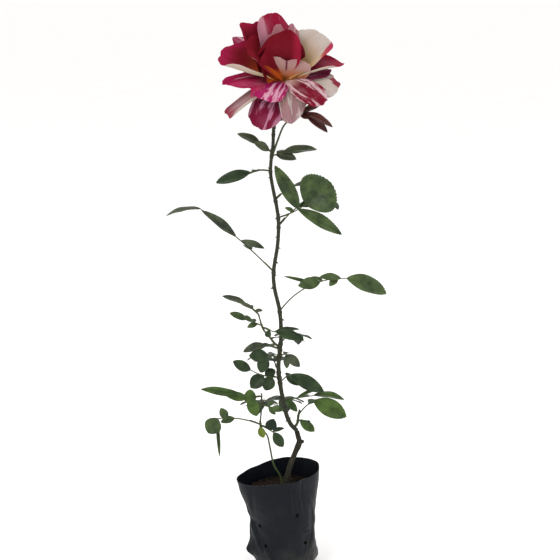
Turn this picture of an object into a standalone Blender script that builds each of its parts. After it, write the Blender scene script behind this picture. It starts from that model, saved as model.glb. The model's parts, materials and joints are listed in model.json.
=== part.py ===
"""A young striped rose in its nursery grow bag, built as separate closed solids.

Metres, +Z up. The origin is on the flat underside of the bag. The flower faces -Y.
Every limb, every compound leaf, the flower, the bag and the potting soil is an object of its own.
"""

import math
import random
from collections import namedtuple

import bmesh
import bpy
from mathutils import Matrix, Vector

MM = 0.001
GAP = 0.0003                      # clearance between neighbouring solids
WELD = 0.002 * MM                 # points nearer than this become one after a union
CREASE = math.radians(50)         # edges sharper than this aren't shaded smooth
UP = Vector((0.0, 0.0, 1.0))

# Grow bag: a lay-flat film tube, open at the top, with a seam across the bottom.
BAG_HEIGHT = 104 * MM
BAG_FILM = 1.0 * MM
BAG_SEAM_TURN = math.radians(25)  # the seam and the wide way of the mouth run this far off +X
BAG_SIDES = 36
SOIL_TOP = 90 * MM
SOIL_MOUND = 3 * MM
SOIL_DOME = ((1.0, 0.0), (0.72, 0.6), (0.4, 0.93), (0.25, 1.0))  # share of the way out, share of the mound
BACK_RIM_RISE = 6 * MM            # the mouth stands higher at the back
BACK_RIM_AT = math.radians(-20)
BAG_PROFILE = (                   # height, centre x, half width along the seam, half width across it
    (0, 5.0, 22.0, 20.0),
    (4, 5.0, 28.0, 25.0),
    (12, 3.5, 32.0, 29.0),
    (24, 1.2, 33.5, 32.5),
    (40, 0.0, 33.5, 33.5),
    (60, -0.5, 34.0, 33.5),
    (78, -2.5, 38.5, 31.5),
    (92, -4.0, 43.0, 28.0),
    (104, -4.7, 45.5, 27.0),
)
BAG_EARS = (                      # which end of the seam, height, how far it sticks out
    (math.pi, 27, 10.0),
    (0.0, 7, 8.0),
)
EAR_SPREAD = math.radians(15)
EAR_RISE = 9.0
FOLD_PROUD = 1.6                  # side folds stand this far out of the round of the film
DRAIN_DIAMETER = 4.5 * MM
DRAIN_SIDES = 8
DRAIN_PUNCH = 14 * MM             # length of the cutter that goes through one wall
DRAIN_RINGS = ((22, 4, 5), (48, 4, 3))   # height, how many, which fold of the film the first one is at

# Limbs: points along the middle of each one in mm (right, back, up), and radius at foot and tip.
Limb = namedtuple("Limb", "name foot_radius tip_radius sides points")
STEM_FOOT = Limb("stem_foot", 2.7, 2.3, 8, (
    (2.0, 3, 90), (4.5, 3, 99), (7.2, 4, 110), (12.2, 5, 124), (16.9, 6, 136), (15.9, 5, 143),
    (14.6, 4, 149)))
MAIN_CANE = Limb("main_cane", 2.3, 1.5, 8, (
    (14.2, 4, 150.2), (7.3, 3, 159), (2.4, 2, 173), (-2.0, 0, 197), (-4.5, -2, 222), (-2.0, -1, 252),
    (-3.2, 1, 278), (-8.6, 0, 304), (-9.2, -1, 322), (-5.2, -2, 350), (-5.0, -1, 377),
    (-11.6, 1, 413), (-12.0, 1, 428), (-9.8, 2, 447), (-9.0, 5, 470), (-7.4, 8, 484)))
THIN_SHOOT = Limb("thin_shoot", 1.0, 0.75, 6, (
    (-1.0, -4, 90), (-2.6, -5, 103), (-9.6, -8, 118), (-13.6, -10, 139), (-15.8, -11, 150), (-19.6, -12, 156),
    (-23.0, -12, 163), (-22.0, -11, 178), (-21.5, -11, 196)))
SIDE_SHOOT = Limb("middle_side_shoot", 1.3, 0.7, 6, (
    (-4.0, -1, 242), (-9.5, -4, 248), (-14.6, -7, 256), (-19.2, -9, 262), (-22.0, -10, 270),
    (-24.4, -11, 279)))
SPUR_SHOOT = Limb("right_spur_shoot", 1.5, 1.0, 6, (
    (11.8, 4, 153.5), (15.0, 3.5, 159), (15.8, 2, 167), (17.2, 1, 174)))
FLOWER_SIDE_SHOOT = Limb("flower_side_shoot", 1.1, 0.7, 6, (
    (-10.5, 1, 436), (-5.2, 1, 451), (0.6, 1, 465), (8.0, 2, 471), (15.6, 3, 475.5)))
SOIL_LIMBS = (STEM_FOOT, THIN_SHOOT)
KNOB_AT = 0.72                    # share of the stem foot's length where the old cut stands out
KNOB_EXTRA = 0.6
CUT_STUB = ((16.9, 6, 136), (19.2, 5.8, 137.2), (21.6, 5.4, 137.8))      # the stub that the old cut left
CUT_STUB_RADII = (2.1, 2.0, 1.5)
ROOT_FLARE = 1.6

# Compound leaves. Each has a stalk that leaves its limb at a height, and pairs of leaflets along it.
# At the height of the limb's last point it grows on from the limb's tip.
# height mm; heading deg (0 = +X, 90 = +Y); rise deg of the stalk at its foot and at its end; stalk mm;
# pairs of side leaflets; end leaflet mm; its width over its length; side leaflets' length over its own;
# fan deg between a side leaflet and the stalk; roll deg of the whole leaf to its own right;
# tilt deg of each side leaflet on its own midrib; nod deg of the end leaflet below the stalk.
Leaf = namedtuple(
    "Leaf", "name limb height heading rise end_rise stalk pairs blade slim side fan roll tilt nod")
LEAVES = (
    Leaf("leaf_top_bronze", FLOWER_SIDE_SHOOT, 475.5, -20, 40, -6, 6, 1, 33, 0.66, 0.80, 40, 34, 0, 14),
    Leaf("leaf_top_left", MAIN_CANE, 439, 165, 32, 36, 12, 1, 30, 0.46, 0.56, 16, -34, 0, -6),
    Leaf("leaf_top_right", MAIN_CANE, 436, -12, 12, 24, 10, 1, 33, 0.45, 0.60, 24, 25, 0, 0),
    Leaf("leaf_top_back", MAIN_CANE, 457, 84, 40, 20, 24, 1, 32, 0.50, 0.85, 46, 0, 0, 10),
    Leaf("leaf_upper_left", MAIN_CANE, 421, -166, 10, -18, 20, 1, 37, 0.42, 0.48, 20, -25, 0, 0),
    Leaf("leaf_upper_right", MAIN_CANE, 375, -10, 18, 38, 29, 1, 37, 1.15, 1.34, 62, 70, 50, 30),
    Leaf("leaf_upper_back", MAIN_CANE, 392, 52, 30, -4, 42, 1, 40, 0.50, 0.80, 36, 0, 0, 12),
    Leaf("leaf_long_left", MAIN_CANE, 320, 172, 45, 35, 92, 3, 41, 0.38, 0.84, 24, -4, 16, 36),
    Leaf("leaf_long_right", MAIN_CANE, 279, -5, 54, -2, 77, 3, 44, 0.42, 0.66, 28, 18, 0, 4),
    Leaf("leaf_long_back", MAIN_CANE, 366, 44, 40, 0, 58, 2, 35, 0.50, 0.85, 42, 0, 0, 14),
    Leaf("leaf_shoot_tip", SIDE_SHOOT, 279, 160, 38, 30, 18, 2, 25, 0.36, 0.80, 30, -15, 0, 0),
    Leaf("leaf_shoot_left", SIDE_SHOOT, 267, -158, 24, 28, 17, 2, 19, 0.50, 1.00, 55, -20, 0, 0),
    Leaf("leaf_shoot_right", SIDE_SHOOT, 265.5, -32, -18, 2, 16, 1, 33, 0.40, 0.92, 26, 18, 0, -10),
    Leaf("leaf_middle_left_high", MAIN_CANE, 239.5, 158, 14, 2, 14, 1, 28, 0.45, 0.55, 30, -24, 0, 6),
    Leaf("leaf_middle_left", MAIN_CANE, 231, -146, 24, 0, 14, 1, 25, 0.60, 0.95, 58, -35, 0, 12),
    Leaf("leaf_middle_left_low", MAIN_CANE, 210, -155, 8, 36, 32, 2, 24, 0.66, 1.00, 62, -48, 0, -10),
    Leaf("leaf_middle_right_high", MAIN_CANE, 232, -45, 35, 0, 9, 1, 22, 0.55, 0.80, 50, 30, 0, 14),
    Leaf("leaf_middle_right", MAIN_CANE, 204, -18, 50, 16, 13, 1, 37, 0.44, 0.62, 45, 28, 0, 28),
    Leaf("leaf_middle_back", MAIN_CANE, 246, 72, 8, -12, 38, 2, 33, 0.50, 0.85, 52, 0, 0, 12),
    Leaf("leaf_middle_back_low", MAIN_CANE, 216, 106, 22, -12, 44, 2, 33, 0.52, 0.85, 50, 0, 0, 12),
    Leaf("leaf_thin_left_high", THIN_SHOOT, 193, -170, -6, -2, 16, 2, 31, 0.48, 0.92, 36, -26, 0, 0),
    Leaf("leaf_thin_right", THIN_SHOOT, 184, -30, -5, -8, 11, 1, 15, 0.50, 0.90, 40, 25, 0, 0),
    Leaf("leaf_thin_back", THIN_SHOOT, 180, 96, 15, -24, 28, 2, 29, 0.52, 0.85, 56, 0, 0, 12),
    Leaf("leaf_thin_left_low", THIN_SHOOT, 163, -172, 25, -4, 43, 1, 20, 0.85, 0.90, 84, -60, 42, 25),
    Leaf("leaf_thin_front", THIN_SHOOT, 162, -50, 0, -10, 20, 2, 16, 0.75, 0.95, 65, 45, 0, 30),
    Leaf("leaf_thin_small", THIN_SHOOT, 166, -95, -40, -60, 4, 0, 14, 0.60, 1.00, 0, 0, 0, 10),
    Leaf("leaf_low_right", MAIN_CANE, 184.5, 14, 5, 2, 32, 1, 34, 0.36, 0.85, 30, 20, 0, 0),
    Leaf("leaf_low_back", MAIN_CANE, 177, 88, 14, -30, 38, 2, 31, 0.52, 0.85, 54, 0, 0, 14),
    Leaf("leaf_spur_right", SPUR_SHOOT, 168, -20, 56, 24, 22, 1, 36, 0.62, 0.45, 46, 42, 0, 38),
    Leaf("leaf_spur_front", SPUR_SHOOT, 162, -50, 14, -4, 9, 1, 21, 0.60, 0.70, 50, 24, 0, 4),
)
# Leaflets that don't lie as the rule lays them: share along the stalk, tip from foot (right, back, up) and width
# in mm, and how far the upper side turns from the sky to the front, in degrees.
PLACED_LEAFLETS = {
    "leaf_top_bronze": ((0.95, (27, -4, -14), 10, 38), (0.8, (24, -2, -19), 9, 62), (0.3, (9, -6, -4), 9, 60),
                        (0.6, (16, 2, 8), 9, 40), (0.5, (-5, -2, 9), 6, 60)),
    "leaf_top_left": ((0.95, (-23, -2, 11), 10, 40), (0.1, (-15, -4, 9), 9, 52), (0.25, (-6, 9, 3), 7, 0)),
    "leaf_top_right": ((0.9, (34, 1, 3), 12, 34), (0.25, (20, -5, -3), 11, 52), (0.4, (8, 11, 3), 9, 0)),
    "leaf_upper_left": ((0.92, (-34, -3, -10), 12, 66), (0.4, (-14, -1, -5), 4, 30), (0.5, (-6, 10, -2), 8, 0)),
    "leaf_upper_right": ((0.7, (-23, -3, 44), 15, 75), (1, (25, 2, 22), 46, 80), (0.68, (44, -6, -24), 13, 64),
                         (0.5, (-9, -2, 5), 5, 50)),
    "leaf_long_left": ((1, (-35, 0, -6), 13, 8), (0.52, (-34, -5, 28), 10, 50), (0.45, (24, -5, -7), 8, 45),
                       (0.7, (-6, 13, 6), 9, 0), (0.3, (-8, 12, 3), 9, 0)),
    "leaf_long_right": ((0.98, (41, -4, -13), 19, 52), (0.9, (-22, -2, 3), 9, 40), (0.85, (-8, -8, -6), 8, 45),
                        (0.62, (-22, -5, -3), 13, 60), (0.66, (-15, 6, 3), 9, 10), (0.54, (-31, -2, 8), 4, 60)),
    "leaf_shoot_tip": ((0.85, (-24, 0, 9), 8, 30), (0.4, (-14, -3, 8), 6, 35), (0.2, (8, -2, 1), 6, 30),
                       (0.4, (-7, 12, 2), 8, 0)),
    "leaf_shoot_left": ((0.95, (-17, -1, 7), 8, 50), (0.6, (-8, 2, 6), 6, 40), (0.2, (-10, -5, -2), 6, 50),
                        (0.4, (-4, 10, 1), 8, 0)),
    "leaf_shoot_right": ((0.95, (28, -4, -6), 11, 52), (0.8, (26, 5, 2), 6, 36), (0.4, (-2, 3, -9), 7, 70)),
    "leaf_middle_left_high": ((0.9, (-24, -6, -4), 11, 42), (0.55, (-13, 5, 0), 7, 25), (0.4, (-3, 11, 0), 8, 0)),
    "leaf_middle_left": ((0.85, (-19, -3, 2), 14, 65), (1, (-6, -5, -16), 13, 75), (0.4, (-6, 10, -2), 9, 0)),
    "leaf_middle_left_low": ((1, (-18, -1, 9), 11, 70), (0.5, (-13, -5, -12), 15, 72), (0.2, (-6, -6, -13), 14, 75),
                             (0.16, (-5, 2, 9), 12, 70)),
    "leaf_middle_right_high": ((1, (13, -3, -12), 10, 68), (0.9, (0, -4, -14), 7, 70), (0.6, (4, 10, -1), 8, 0)),
    "leaf_middle_right": ((0.84, (34, -5, -17), 15, 58), (0.45, (13, -7, -7), 8, 60), (0.5, (6, 14, -2), 10, 0)),
    "leaf_thin_left_high": ((1, (-45, 0, 12), 10, 42), (0.7, (8, -5, -18), 13, 75), (0.3, (-13, -2, 0), 16, 72), (0.85, (-22, -5, 4), 10, 55),
                            (0.5, (-6, 13, -1), 11, 0)),
    "leaf_thin_right": ((1, (12, -3, -2), 8, 50), (0.5, (8, 2, 5), 6, 30), (0.7, (7, -4, -7), 6, 60)),
    "leaf_thin_left_low": ((1, (-10, -3, -15), 18, 80), (0.78, (-6, 0, 11), 9, 75), (0.6, (-14, -4, -3), 8, 50),
                           (1, (1, 2, -42), 4, 80)),
    "leaf_thin_front": ((0.6, (5, -1, 12), 12, 80), (1, (10, -4, -14), 11, 80), (0.9, (12, 3, 4), 6, 25)),
    "leaf_thin_small": ((1, (4, -2, -11), 8, 80),),
    "leaf_low_right": ((0.95, (33, 5, -4), 12, 18), (0.4, (20, 3, 7), 6, 20), (0.6, (6, 12, -1), 9, 0),
                       (0.04, (11, -5, -12), 8, 66)),
    "leaf_spur_right": ((0.85, (34, -4, -15), 20, 62), (0.6, (5, 12, 0), 9, 0), (0.5, (12, 8, 2), 8, 0)),
    "leaf_spur_front": ((0.2, (15, -3, -12), 10, 72), (1, (5, -8, 2), 6, 30)),
}
LEAF_DEALS = 40                    # tries at dealing out one leaf's leaflets
STALK_RADIUS = 0.75
STALK_TIP_RADIUS = 0.5
STALK_SIDES = 3
STALK_STEPS = 5
LEAFLET_ROOT = 0.4                # a side leaflet starts this far behind the middle of the stalk
PAIR_STAGGER = 0.7                # and this far along it from the pair's middle
END_LEAFLET_LAP = 1.2             # the end leaflet starts this far before the stalk's tip
SIDE_SLIM_MOST = 0.62             # side leaflets are never rounder than this
PAIR_SPACING = 0.56               # of the end leaflet's length
FIRST_PAIR_BACK = 0.28            # of the end leaflet's length, behind the stalk's end
PAIR_SHRINK = 0.86                # each pair further back is this much shorter
LEAFLET_FOLD = math.radians(16)
LEAFLET_BEND = math.radians(28)
BEND_LENGTHENS = 1.014            # a blade bent so is this much longer than it is from foot to tip
LEAFLET_STATIONS = ((0.15, 0.62), (0.45, 1.0), (0.8, 0.68))  # along, share of half width

# Flower: its axis leans forward and up. Each petal is a cupped blade on that axis, and the petals stand
# round a heart a little to the right of the cane's own line.
FLOWER_BASE = Vector((-6 * MM, -8 * MM, 508 * MM))
FLOWER_HEART = Vector((1 * MM, -8 * MM, 512 * MM))
FLOWER_RISE = math.radians(45)
PETAL_THICKNESS = 0.9 * MM
PETAL_ROWS = 4
PETAL_SHOULDER = 0.62             # where along a petal it is widest
PETAL_PINCH = 0.43                # width of the very foot over what the foot's share gives
PETAL_CORNER = 0.86               # reach of a petal's two corners over its edge's share
PETAL_SINK = 3.1 * MM             # petals start this far below the heart
PETAL_LEAD = 0.08                 # a petal's opening runs this share ahead
LIP_FROM = 0.7                    # a lip turns out over the length past this share
CUP_AT_FOOT = 0.35                # share of the cup that the foot already has
CUP_STEPS = 12
HIP_LENGTH = 15 * MM              # from the cane's tip to the flower's base
HEART_RADIUS = 8 * MM
HEART_SIDES = 10
HIP_SHAPE = (                     # share of the way from the cane to the heart, share of the radius
    (0.0, 0.24), (0.15, 0.55), (0.35, 0.66), (0.6, 0.6), (0.85, 1.0), (1.15, 0.8), (1.3, 0.3))
# name, turn deg about the axis (0 = right, 90 = up), opening deg from the axis at foot and at tip,
# length mm, half widths mm (sides clockwise and anticlockwise), share of each at the foot, cup deg across
# half the blade, reach of five places across its edge, lip deg, sweep deg.
Petal = namedtuple("Petal", "name turn opens length halves feet cup edge lip sweep", defaults=(0, 0))
PETALS = (
    Petal("top_centre", 109, (34, 46), 64, (17, 19), (0.5, 0.5), 22, (0.72, 0.95, 1.0, 0.97, 0.80)),
    Petal("pale_rim", 88, (30, 42), 53, (14, 18), (0.5, 0.5), 30, (0.84, 1.0, 0.97, 1.03, 0.8), 30),
    Petal("upper_left", 134, (38, 60), 64, (26, 20), (0.8, 0.5), 30, (0.7, 0.90, 0.96, 1.04, 0.80), -10),
    Petal("left_tip", 142, (62, 84), 65, (14, 12), (0.5, 0.5), 20, (0.6, 0.85, 1.0, 0.9, 0.6)),
    Petal("left", 172, (56, 80), 66, (24, 14), (0.9, 0.3), 30, (0.72, 0.96, 1.0, 0.97, 0.84)),
    Petal("inner_left", 172, (30, 52), 54, (28, 14), (0.8, 0.3), 40, (0.8, 0.97, 1.0, 0.9, 0.7)),
    Petal("inner_top", 120, (20, 36), 38, (26, 24), (0.7, 0.7), 40, (0.8, 0.97, 1.0, 0.97, 0.8)),
    Petal("centre_right", 86, (16, 34), 50, (18, 30), (0.3, 0.7), 58, (0.84, 0.97, 1.0, 0.88, 0.66), -8),
    Petal("front_small", 80, (8, 22), 25, (25, 15), (0.65, 0.6), 10, (0.90, 0.98, 0.86, 0.98, 0.92)),
    Petal("upper_right", 43, (46, 68), 56, (18, 24), (0.3, 0.6), 20, (1.02, 1.04, 1.0, 0.95, 0.78), 0, -16),
    Petal("right", 11, (60, 80), 58, (8, 17), (0.4, 0.4), 30, (0.9, 1.02, 0.98, 0.84, 0.6), 0, -8),
    Petal("dark_bit", 9, (70, 92), 46, (10, 9), (0.5, 0.5), 14, (0.9, 0.95, 1.0, 0.8, 0.6)),
    Petal("right_low", -10, (72, 102), 54, (22, 12), (0.5, 0.3), 12, (0.72, 0.93, 1.0, 0.97, 0.86), 10),
    Petal("right_striped", -47, (60, 92), 55, (13, 15), (0.3, 0.5), -14, (0.72, 0.95, 1.0, 0.97, 0.8)),
    Petal("front_right", -79, (62, 122), 51, (11, 17), (0.5, 0.9), -16, (0.95, 1.0, 0.98, 0.86, 0.66)),
    Petal("front_left", -113, (58, 88), 40, (23, 11), (0.6, 0.6), -22, (0.8, 0.95, 1.0, 0.95, 0.8)),
    Petal("hanging", -115, (76, 128), 57, (19, 15), (0.5, 0.5), -24, (0.85, 0.97, 1.0, 0.95, 0.8)),
    Petal("left_low", -166, (66, 98), 60, (11, 20), (0.3, 0.6), 10, (0.9, 1.0, 0.9, 0.62, 0.66)),
    Petal("rolled", -146, (78, 114), 66, (6, 6), (0.5, 0.5), 60, (0.9, 1.0, 1.0, 1.0, 0.9)),
    Petal("back_left", 142, (84, 128), 48, (22, 22), (0.5, 0.5), -14, (0.7, 0.95, 1.0, 0.95, 0.7)),
    Petal("back_top", 92, (80, 124), 50, (23, 23), (0.5, 0.5), -14, (0.7, 0.95, 1.0, 0.95, 0.7)),
    Petal("back_right", 42, (98, 130), 48, (22, 22), (0.5, 0.5), -14, (0.7, 0.95, 1.0, 0.95, 0.7)),
)

COLOURS = {                       # base colour (linear RGB), roughness
    "bag": ((0.018, 0.021, 0.026), 0.45),
    "soil": ((0.045, 0.028, 0.017), 0.95),
    "old_bark": ((0.060, 0.048, 0.034), 0.80),
    "green_bark": ((0.050, 0.075, 0.035), 0.60),
    "leaf": ((0.055, 0.115, 0.045), 0.50),
    "young_leaf": ((0.110, 0.045, 0.040), 0.45),
    "petal": ((0.420, 0.010, 0.060), 0.55),
}


def finish(name, mesh, colour):
    """Links the mesh as one named object with its own Principled material."""
    base, roughness = COLOURS[colour]
    material = bpy.data.materials.new(name + "_finish")
    material.use_nodes = True
    shader = material.node_tree.nodes["Principled BSDF"]
    shader.inputs["Base Color"].default_value = (*base, 1.0)
    shader.inputs["Roughness"].default_value = roughness
    shader.inputs["Metallic"].default_value = 0.0
    mesh.materials.clear()
    mesh.materials.append(material)
    mesh.shade_smooth()
    mesh.set_sharp_from_angle(angle=CREASE)
    thing = bpy.data.objects.new(name, mesh)
    bpy.context.collection.objects.link(thing)
    return thing


def mesh_of(rings):
    """A closed tube through rings of points, in triangles cut along the shorter diagonals."""
    build = bmesh.new()
    rows = [[build.verts.new(point) for point in ring] for ring in rings]
    for below, above in zip(rows, rows[1:]):
        for i in range(len(below)):
            j = (i + 1) % len(below)
            build.faces.new((below[i], below[j], above[j], above[i]))
    build.faces.new(tuple(reversed(rows[0])))
    build.faces.new(tuple(rows[-1]))
    bmesh.ops.triangulate(build, faces=build.faces, quad_method="SHORT_EDGE")
    bmesh.ops.recalc_face_normals(build, faces=build.faces)
    mesh = bpy.data.meshes.new("solid")
    build.to_mesh(mesh)
    build.free()
    return mesh


def smooth_path(points, steps):
    """A Catmull-Rom curve through the points, steps to each span."""
    ends = [2 * points[0] - points[1], *points, 2 * points[-1] - points[-2]]
    path = []
    for a, b, c, d in zip(ends, ends[1:], ends[2:], ends[3:]):
        for k in range(steps):
            t = k / steps
            path.append(0.5 * (2 * b + (c - a) * t + (2 * a - 5 * b + 4 * c - d) * t * t
                               + (3 * b - a - 3 * c + d) * t ** 3))
    return path + [points[-1]]


def tube_rings(path, radii, sides, foot_facing=None, tip_facing=None):
    """Rings round a path, carried along it without twist; its end cuts may face a given way."""
    rings = []
    last = len(path) - 1
    side = None
    for i, centre in enumerate(path):
        along = (path[min(i + 1, last)] - path[max(i - 1, 0)]).normalized()
        if i == 0 and foot_facing is not None:
            along = foot_facing
        if i == last and tip_facing is not None:
            along = tip_facing
        if side is None:
            side = along.orthogonal().normalized()
        side = (side - along * side.dot(along)).normalized()
        other = along.cross(side)
        rings.append([centre + radii[i] * (math.cos(a) * side + math.sin(a) * other)
                      for a in (2 * math.pi * k / sides for k in range(sides))])
    return rings


def fork():
    """Where the stem foot is cut off square, and which way the cut faces."""
    path = limb_path(STEM_FOOT)
    return path[-1], (path[-1] - path[-2]).normalized()


def limb_path(limb):
    """The smooth middle line of a limb; the main cane runs from the fork to the foot of the hip."""
    points = [Vector(point) * MM for point in limb.points]
    if limb is MAIN_CANE:
        cut, facing = fork()
        points[0] = cut + facing * GAP
        points.append(hip_foot() - flower_axes()[2] * GAP)
    return smooth_path(points, 2 if len(points) > 9 else 3)


def limb_radius(limb, share):
    """Radius at a share of the limb's length, with the root flare and the old cut on the stem foot."""
    radius = limb.foot_radius + (limb.tip_radius - limb.foot_radius) * share
    if limb is STEM_FOOT:
        radius += ROOT_FLARE * math.exp(-share * 12)
        radius += KNOB_EXTRA * math.exp(-((share - KNOB_AT) / 0.07) ** 2)
    return radius * MM


def shares(path):
    """How far along its path each point is, from 0 to 1."""
    lengths = [0.0]
    for a, b in zip(path, path[1:]):
        lengths.append(lengths[-1] + (b - a).length)
    return [length / lengths[-1] for length in lengths]


def point_on_limb(limb, height):
    """Middle, direction and radius of a limb at a height in mm."""
    path = limb_path(limb)
    places = shares(path)
    for i in range(len(path) - 1):
        if path[i].z <= height * MM <= path[i + 1].z:
            t = (height * MM - path[i].z) / (path[i + 1].z - path[i].z)
            share = places[i] + t * (places[i + 1] - places[i])
            along = (path[i + 1] - path[i]).normalized()
            return path[i].lerp(path[i + 1], t), along, limb_radius(limb, share)
    return path[-1], (path[-1] - path[-2]).normalized(), limb_radius(limb, 1.0)


def clear_of(axis, direction, limb_radius_here, own_radius):
    """How far from a limb's middle a side piece starts, so that it stands GAP clear of the bark."""
    slant = abs(axis.dot(direction))
    return (limb_radius_here + GAP + own_radius * slant) / math.sqrt(max(1 - slant * slant, 0.1))


# ---- bag and soil

def bag_ring(height, centre, along, across, inset):
    """One ring of the film: an oval with its side folds and the ears of the bottom seam."""
    ring = []
    for k in range(BAG_SIDES):
        angle = 2 * math.pi * k / BAG_SIDES
        reach = along * across / math.hypot(across * math.cos(angle), along * math.sin(angle))
        for end, ear_height, ear_reach in BAG_EARS:
            off = math.remainder(angle - end, 2 * math.pi) / EAR_SPREAD
            low = math.exp(-((height - ear_height) / EAR_RISE) ** 2)
            reach += math.exp(-off * off) * (FOLD_PROUD + ear_reach * low)
        reach = (reach - inset / MM) * MM
        turned = angle + BAG_SEAM_TURN
        lift = BACK_RIM_RISE * max(0.0, math.sin(turned - BACK_RIM_AT)) * (height / (BAG_HEIGHT / MM)) ** 4
        east = centre * MM + reach * math.cos(turned)
        ring.append(Vector((east, reach * math.sin(turned), height * MM + lift)))
    return ring


def ring_at(height, inset):
    """The film's ring at any height in mm, straight between the rows of its profile."""
    for low, high in zip(BAG_PROFILE, BAG_PROFILE[1:]):
        if low[0] <= height <= high[0]:
            t = (height - low[0]) / (high[0] - low[0])
            return [a.lerp(b, t) for a, b in zip(bag_ring(*low, inset), bag_ring(*high, inset))]
    return bag_ring(*BAG_PROFILE[-1], inset)


def make_bag():
    outer = [bag_ring(*row, 0.0) for row in BAG_PROFILE]
    inner = [ring_at(BAG_FILM / MM, BAG_FILM)] + [bag_ring(*row, BAG_FILM) for row in BAG_PROFILE[1:]]
    mesh = mesh_of(outer + inner[::-1])
    bag = finish("grow_bag", mesh, "bag")
    for height, count, first in DRAIN_RINGS:
        ring = ring_at(height, 0.0)
        for k in range(count):
            middle = ring[(first + k * BAG_SIDES // count) % BAG_SIDES]
            out = Vector((middle.x, middle.y, 0.0)).normalized()
            bpy.ops.mesh.primitive_cylinder_add(
                vertices=DRAIN_SIDES, radius=DRAIN_DIAMETER / 2, depth=DRAIN_PUNCH, location=middle,
                rotation=out.to_track_quat("Z", "Y").to_euler())
            punch = bpy.context.object
            cut = bag.modifiers.new("drain", "BOOLEAN")
            cut.operation = "DIFFERENCE"
            cut.object = punch
            apply_modifiers(bag)
            bpy.data.objects.remove(punch)
    return bag


def make_soil():
    inset = BAG_FILM + 2 * GAP
    edge = (SOIL_TOP - SOIL_MOUND) / MM
    heights = [inset / MM] + [row[0] for row in BAG_PROFILE[1:] if row[0] < edge] + [edge]
    rings = [ring_at(height, inset) for height in heights]
    brim = [Vector((point.x, point.y, edge * MM)) for point in rings.pop()]
    centre = sum(brim, Vector()) / BAG_SIDES
    for share, rise in SOIL_DOME:
        rings.append([centre.lerp(point, share) + UP * SOIL_MOUND * rise for point in brim])
    return finish("potting_soil", mesh_of(rings), "soil")


# ---- limbs

def make_limb(limb, parent=None):
    path = limb_path(limb)
    facings = (fork()[1], flower_axes()[2]) if limb is MAIN_CANE else (None, None)
    if limb in SOIL_LIMBS:
        path[0].z = SOIL_TOP + GAP
    if parent is not None:
        middle, axis, thick = point_on_limb(parent, limb.points[0][2])
        start = (path[1] - middle).normalized()
        path[0] = middle + start * clear_of(axis, start, thick, limb_radius(limb, 0.0))
        while (path[1] - path[0]).dot(start) < MM:
            del path[1]
        facings = (start, None)
    radii = [limb_radius(limb, share) for share in shares(path)]
    rings = tube_rings(path, radii, limb.sides, *facings)
    if limb in SOIL_LIMBS:
        for point in rings[0]:
            point.z = SOIL_TOP + GAP
    colour = "old_bark" if limb is STEM_FOOT else "green_bark"
    if limb is STEM_FOOT:
        stub = [Vector(point) * MM for point in CUT_STUB]
        stub_rings = tube_rings(stub, [radius * MM for radius in CUT_STUB_RADII], limb.sides)
        return fuse(limb.name, [mesh_of(rings), mesh_of(stub_rings)], colour)
    return finish(limb.name, mesh_of(rings), colour)


# ---- leaves

def leaflet_mesh(foot, along, normal, length, width):
    """A pointed oval blade, folded up along its midrib and bent down towards its tip."""
    thick = max(0.6 * MM, length / 60)
    side = along.cross(normal).normalized()
    build = bmesh.new()
    point = foot.copy()
    reached = 0.0
    first = build.verts.new(foot)
    rows = []
    for place, share in LEAFLET_STATIONS:
        turn = Matrix.Rotation(-LEAFLET_BEND * place, 3, side)
        heading = turn @ along
        up = turn @ normal
        point = point + heading * (place - reached) * length
        reached = place
        half = width / 2 * share
        lift = up * half * math.sin(LEAFLET_FOLD)
        edge = side * half * math.cos(LEAFLET_FOLD)
        rows.append([build.verts.new(p) for p in (
            point - edge + lift, point - up * thick / 2, point + edge + lift, point + up * thick / 2)])
    heading = Matrix.Rotation(-LEAFLET_BEND, 3, side) @ along
    last = build.verts.new(point + heading * (1 - reached) * length)
    for below, above in zip(rows, rows[1:]):
        for i in range(4):
            j = (i + 1) % 4
            build.faces.new((below[i], below[j], above[j], above[i]))
    for i in range(4):
        j = (i + 1) % 4
        build.faces.new((first, rows[0][j], rows[0][i]))
        build.faces.new((last, rows[-1][i], rows[-1][j]))
    bmesh.ops.triangulate(build, faces=build.faces)
    bmesh.ops.recalc_face_normals(build, faces=build.faces)
    mesh = bpy.data.meshes.new("leaflet")
    build.to_mesh(mesh)
    build.free()
    return mesh


def stalk_path(leaf):
    """The leaf stalk's points: it leaves its limb's side or tip at a rise and bends evenly on its way."""
    middle, axis, thick = point_on_limb(leaf.limb, leaf.height)
    heading = math.radians(leaf.heading)
    out = Vector((math.cos(heading), math.sin(heading), 0.0))
    rise = math.radians(leaf.rise)
    start = out * math.cos(rise) + UP * math.sin(rise)
    if leaf.height >= leaf.limb.points[-1][2]:
        square = axis.dot(start)
        away = (GAP + STALK_RADIUS * MM * math.sqrt(1 - square * square)) / square
    else:
        away = clear_of(axis, start, thick, STALK_RADIUS * MM)
    path = [middle + start * away]
    for k in range(STALK_STEPS):
        rise = math.radians(leaf.rise + (leaf.end_rise - leaf.rise) * (k + 0.5) / STALK_STEPS)
        heading_here = out * math.cos(rise) + UP * math.sin(rise)
        path.append(path[-1] + heading_here * leaf.stalk * MM / STALK_STEPS)
    return path


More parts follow.
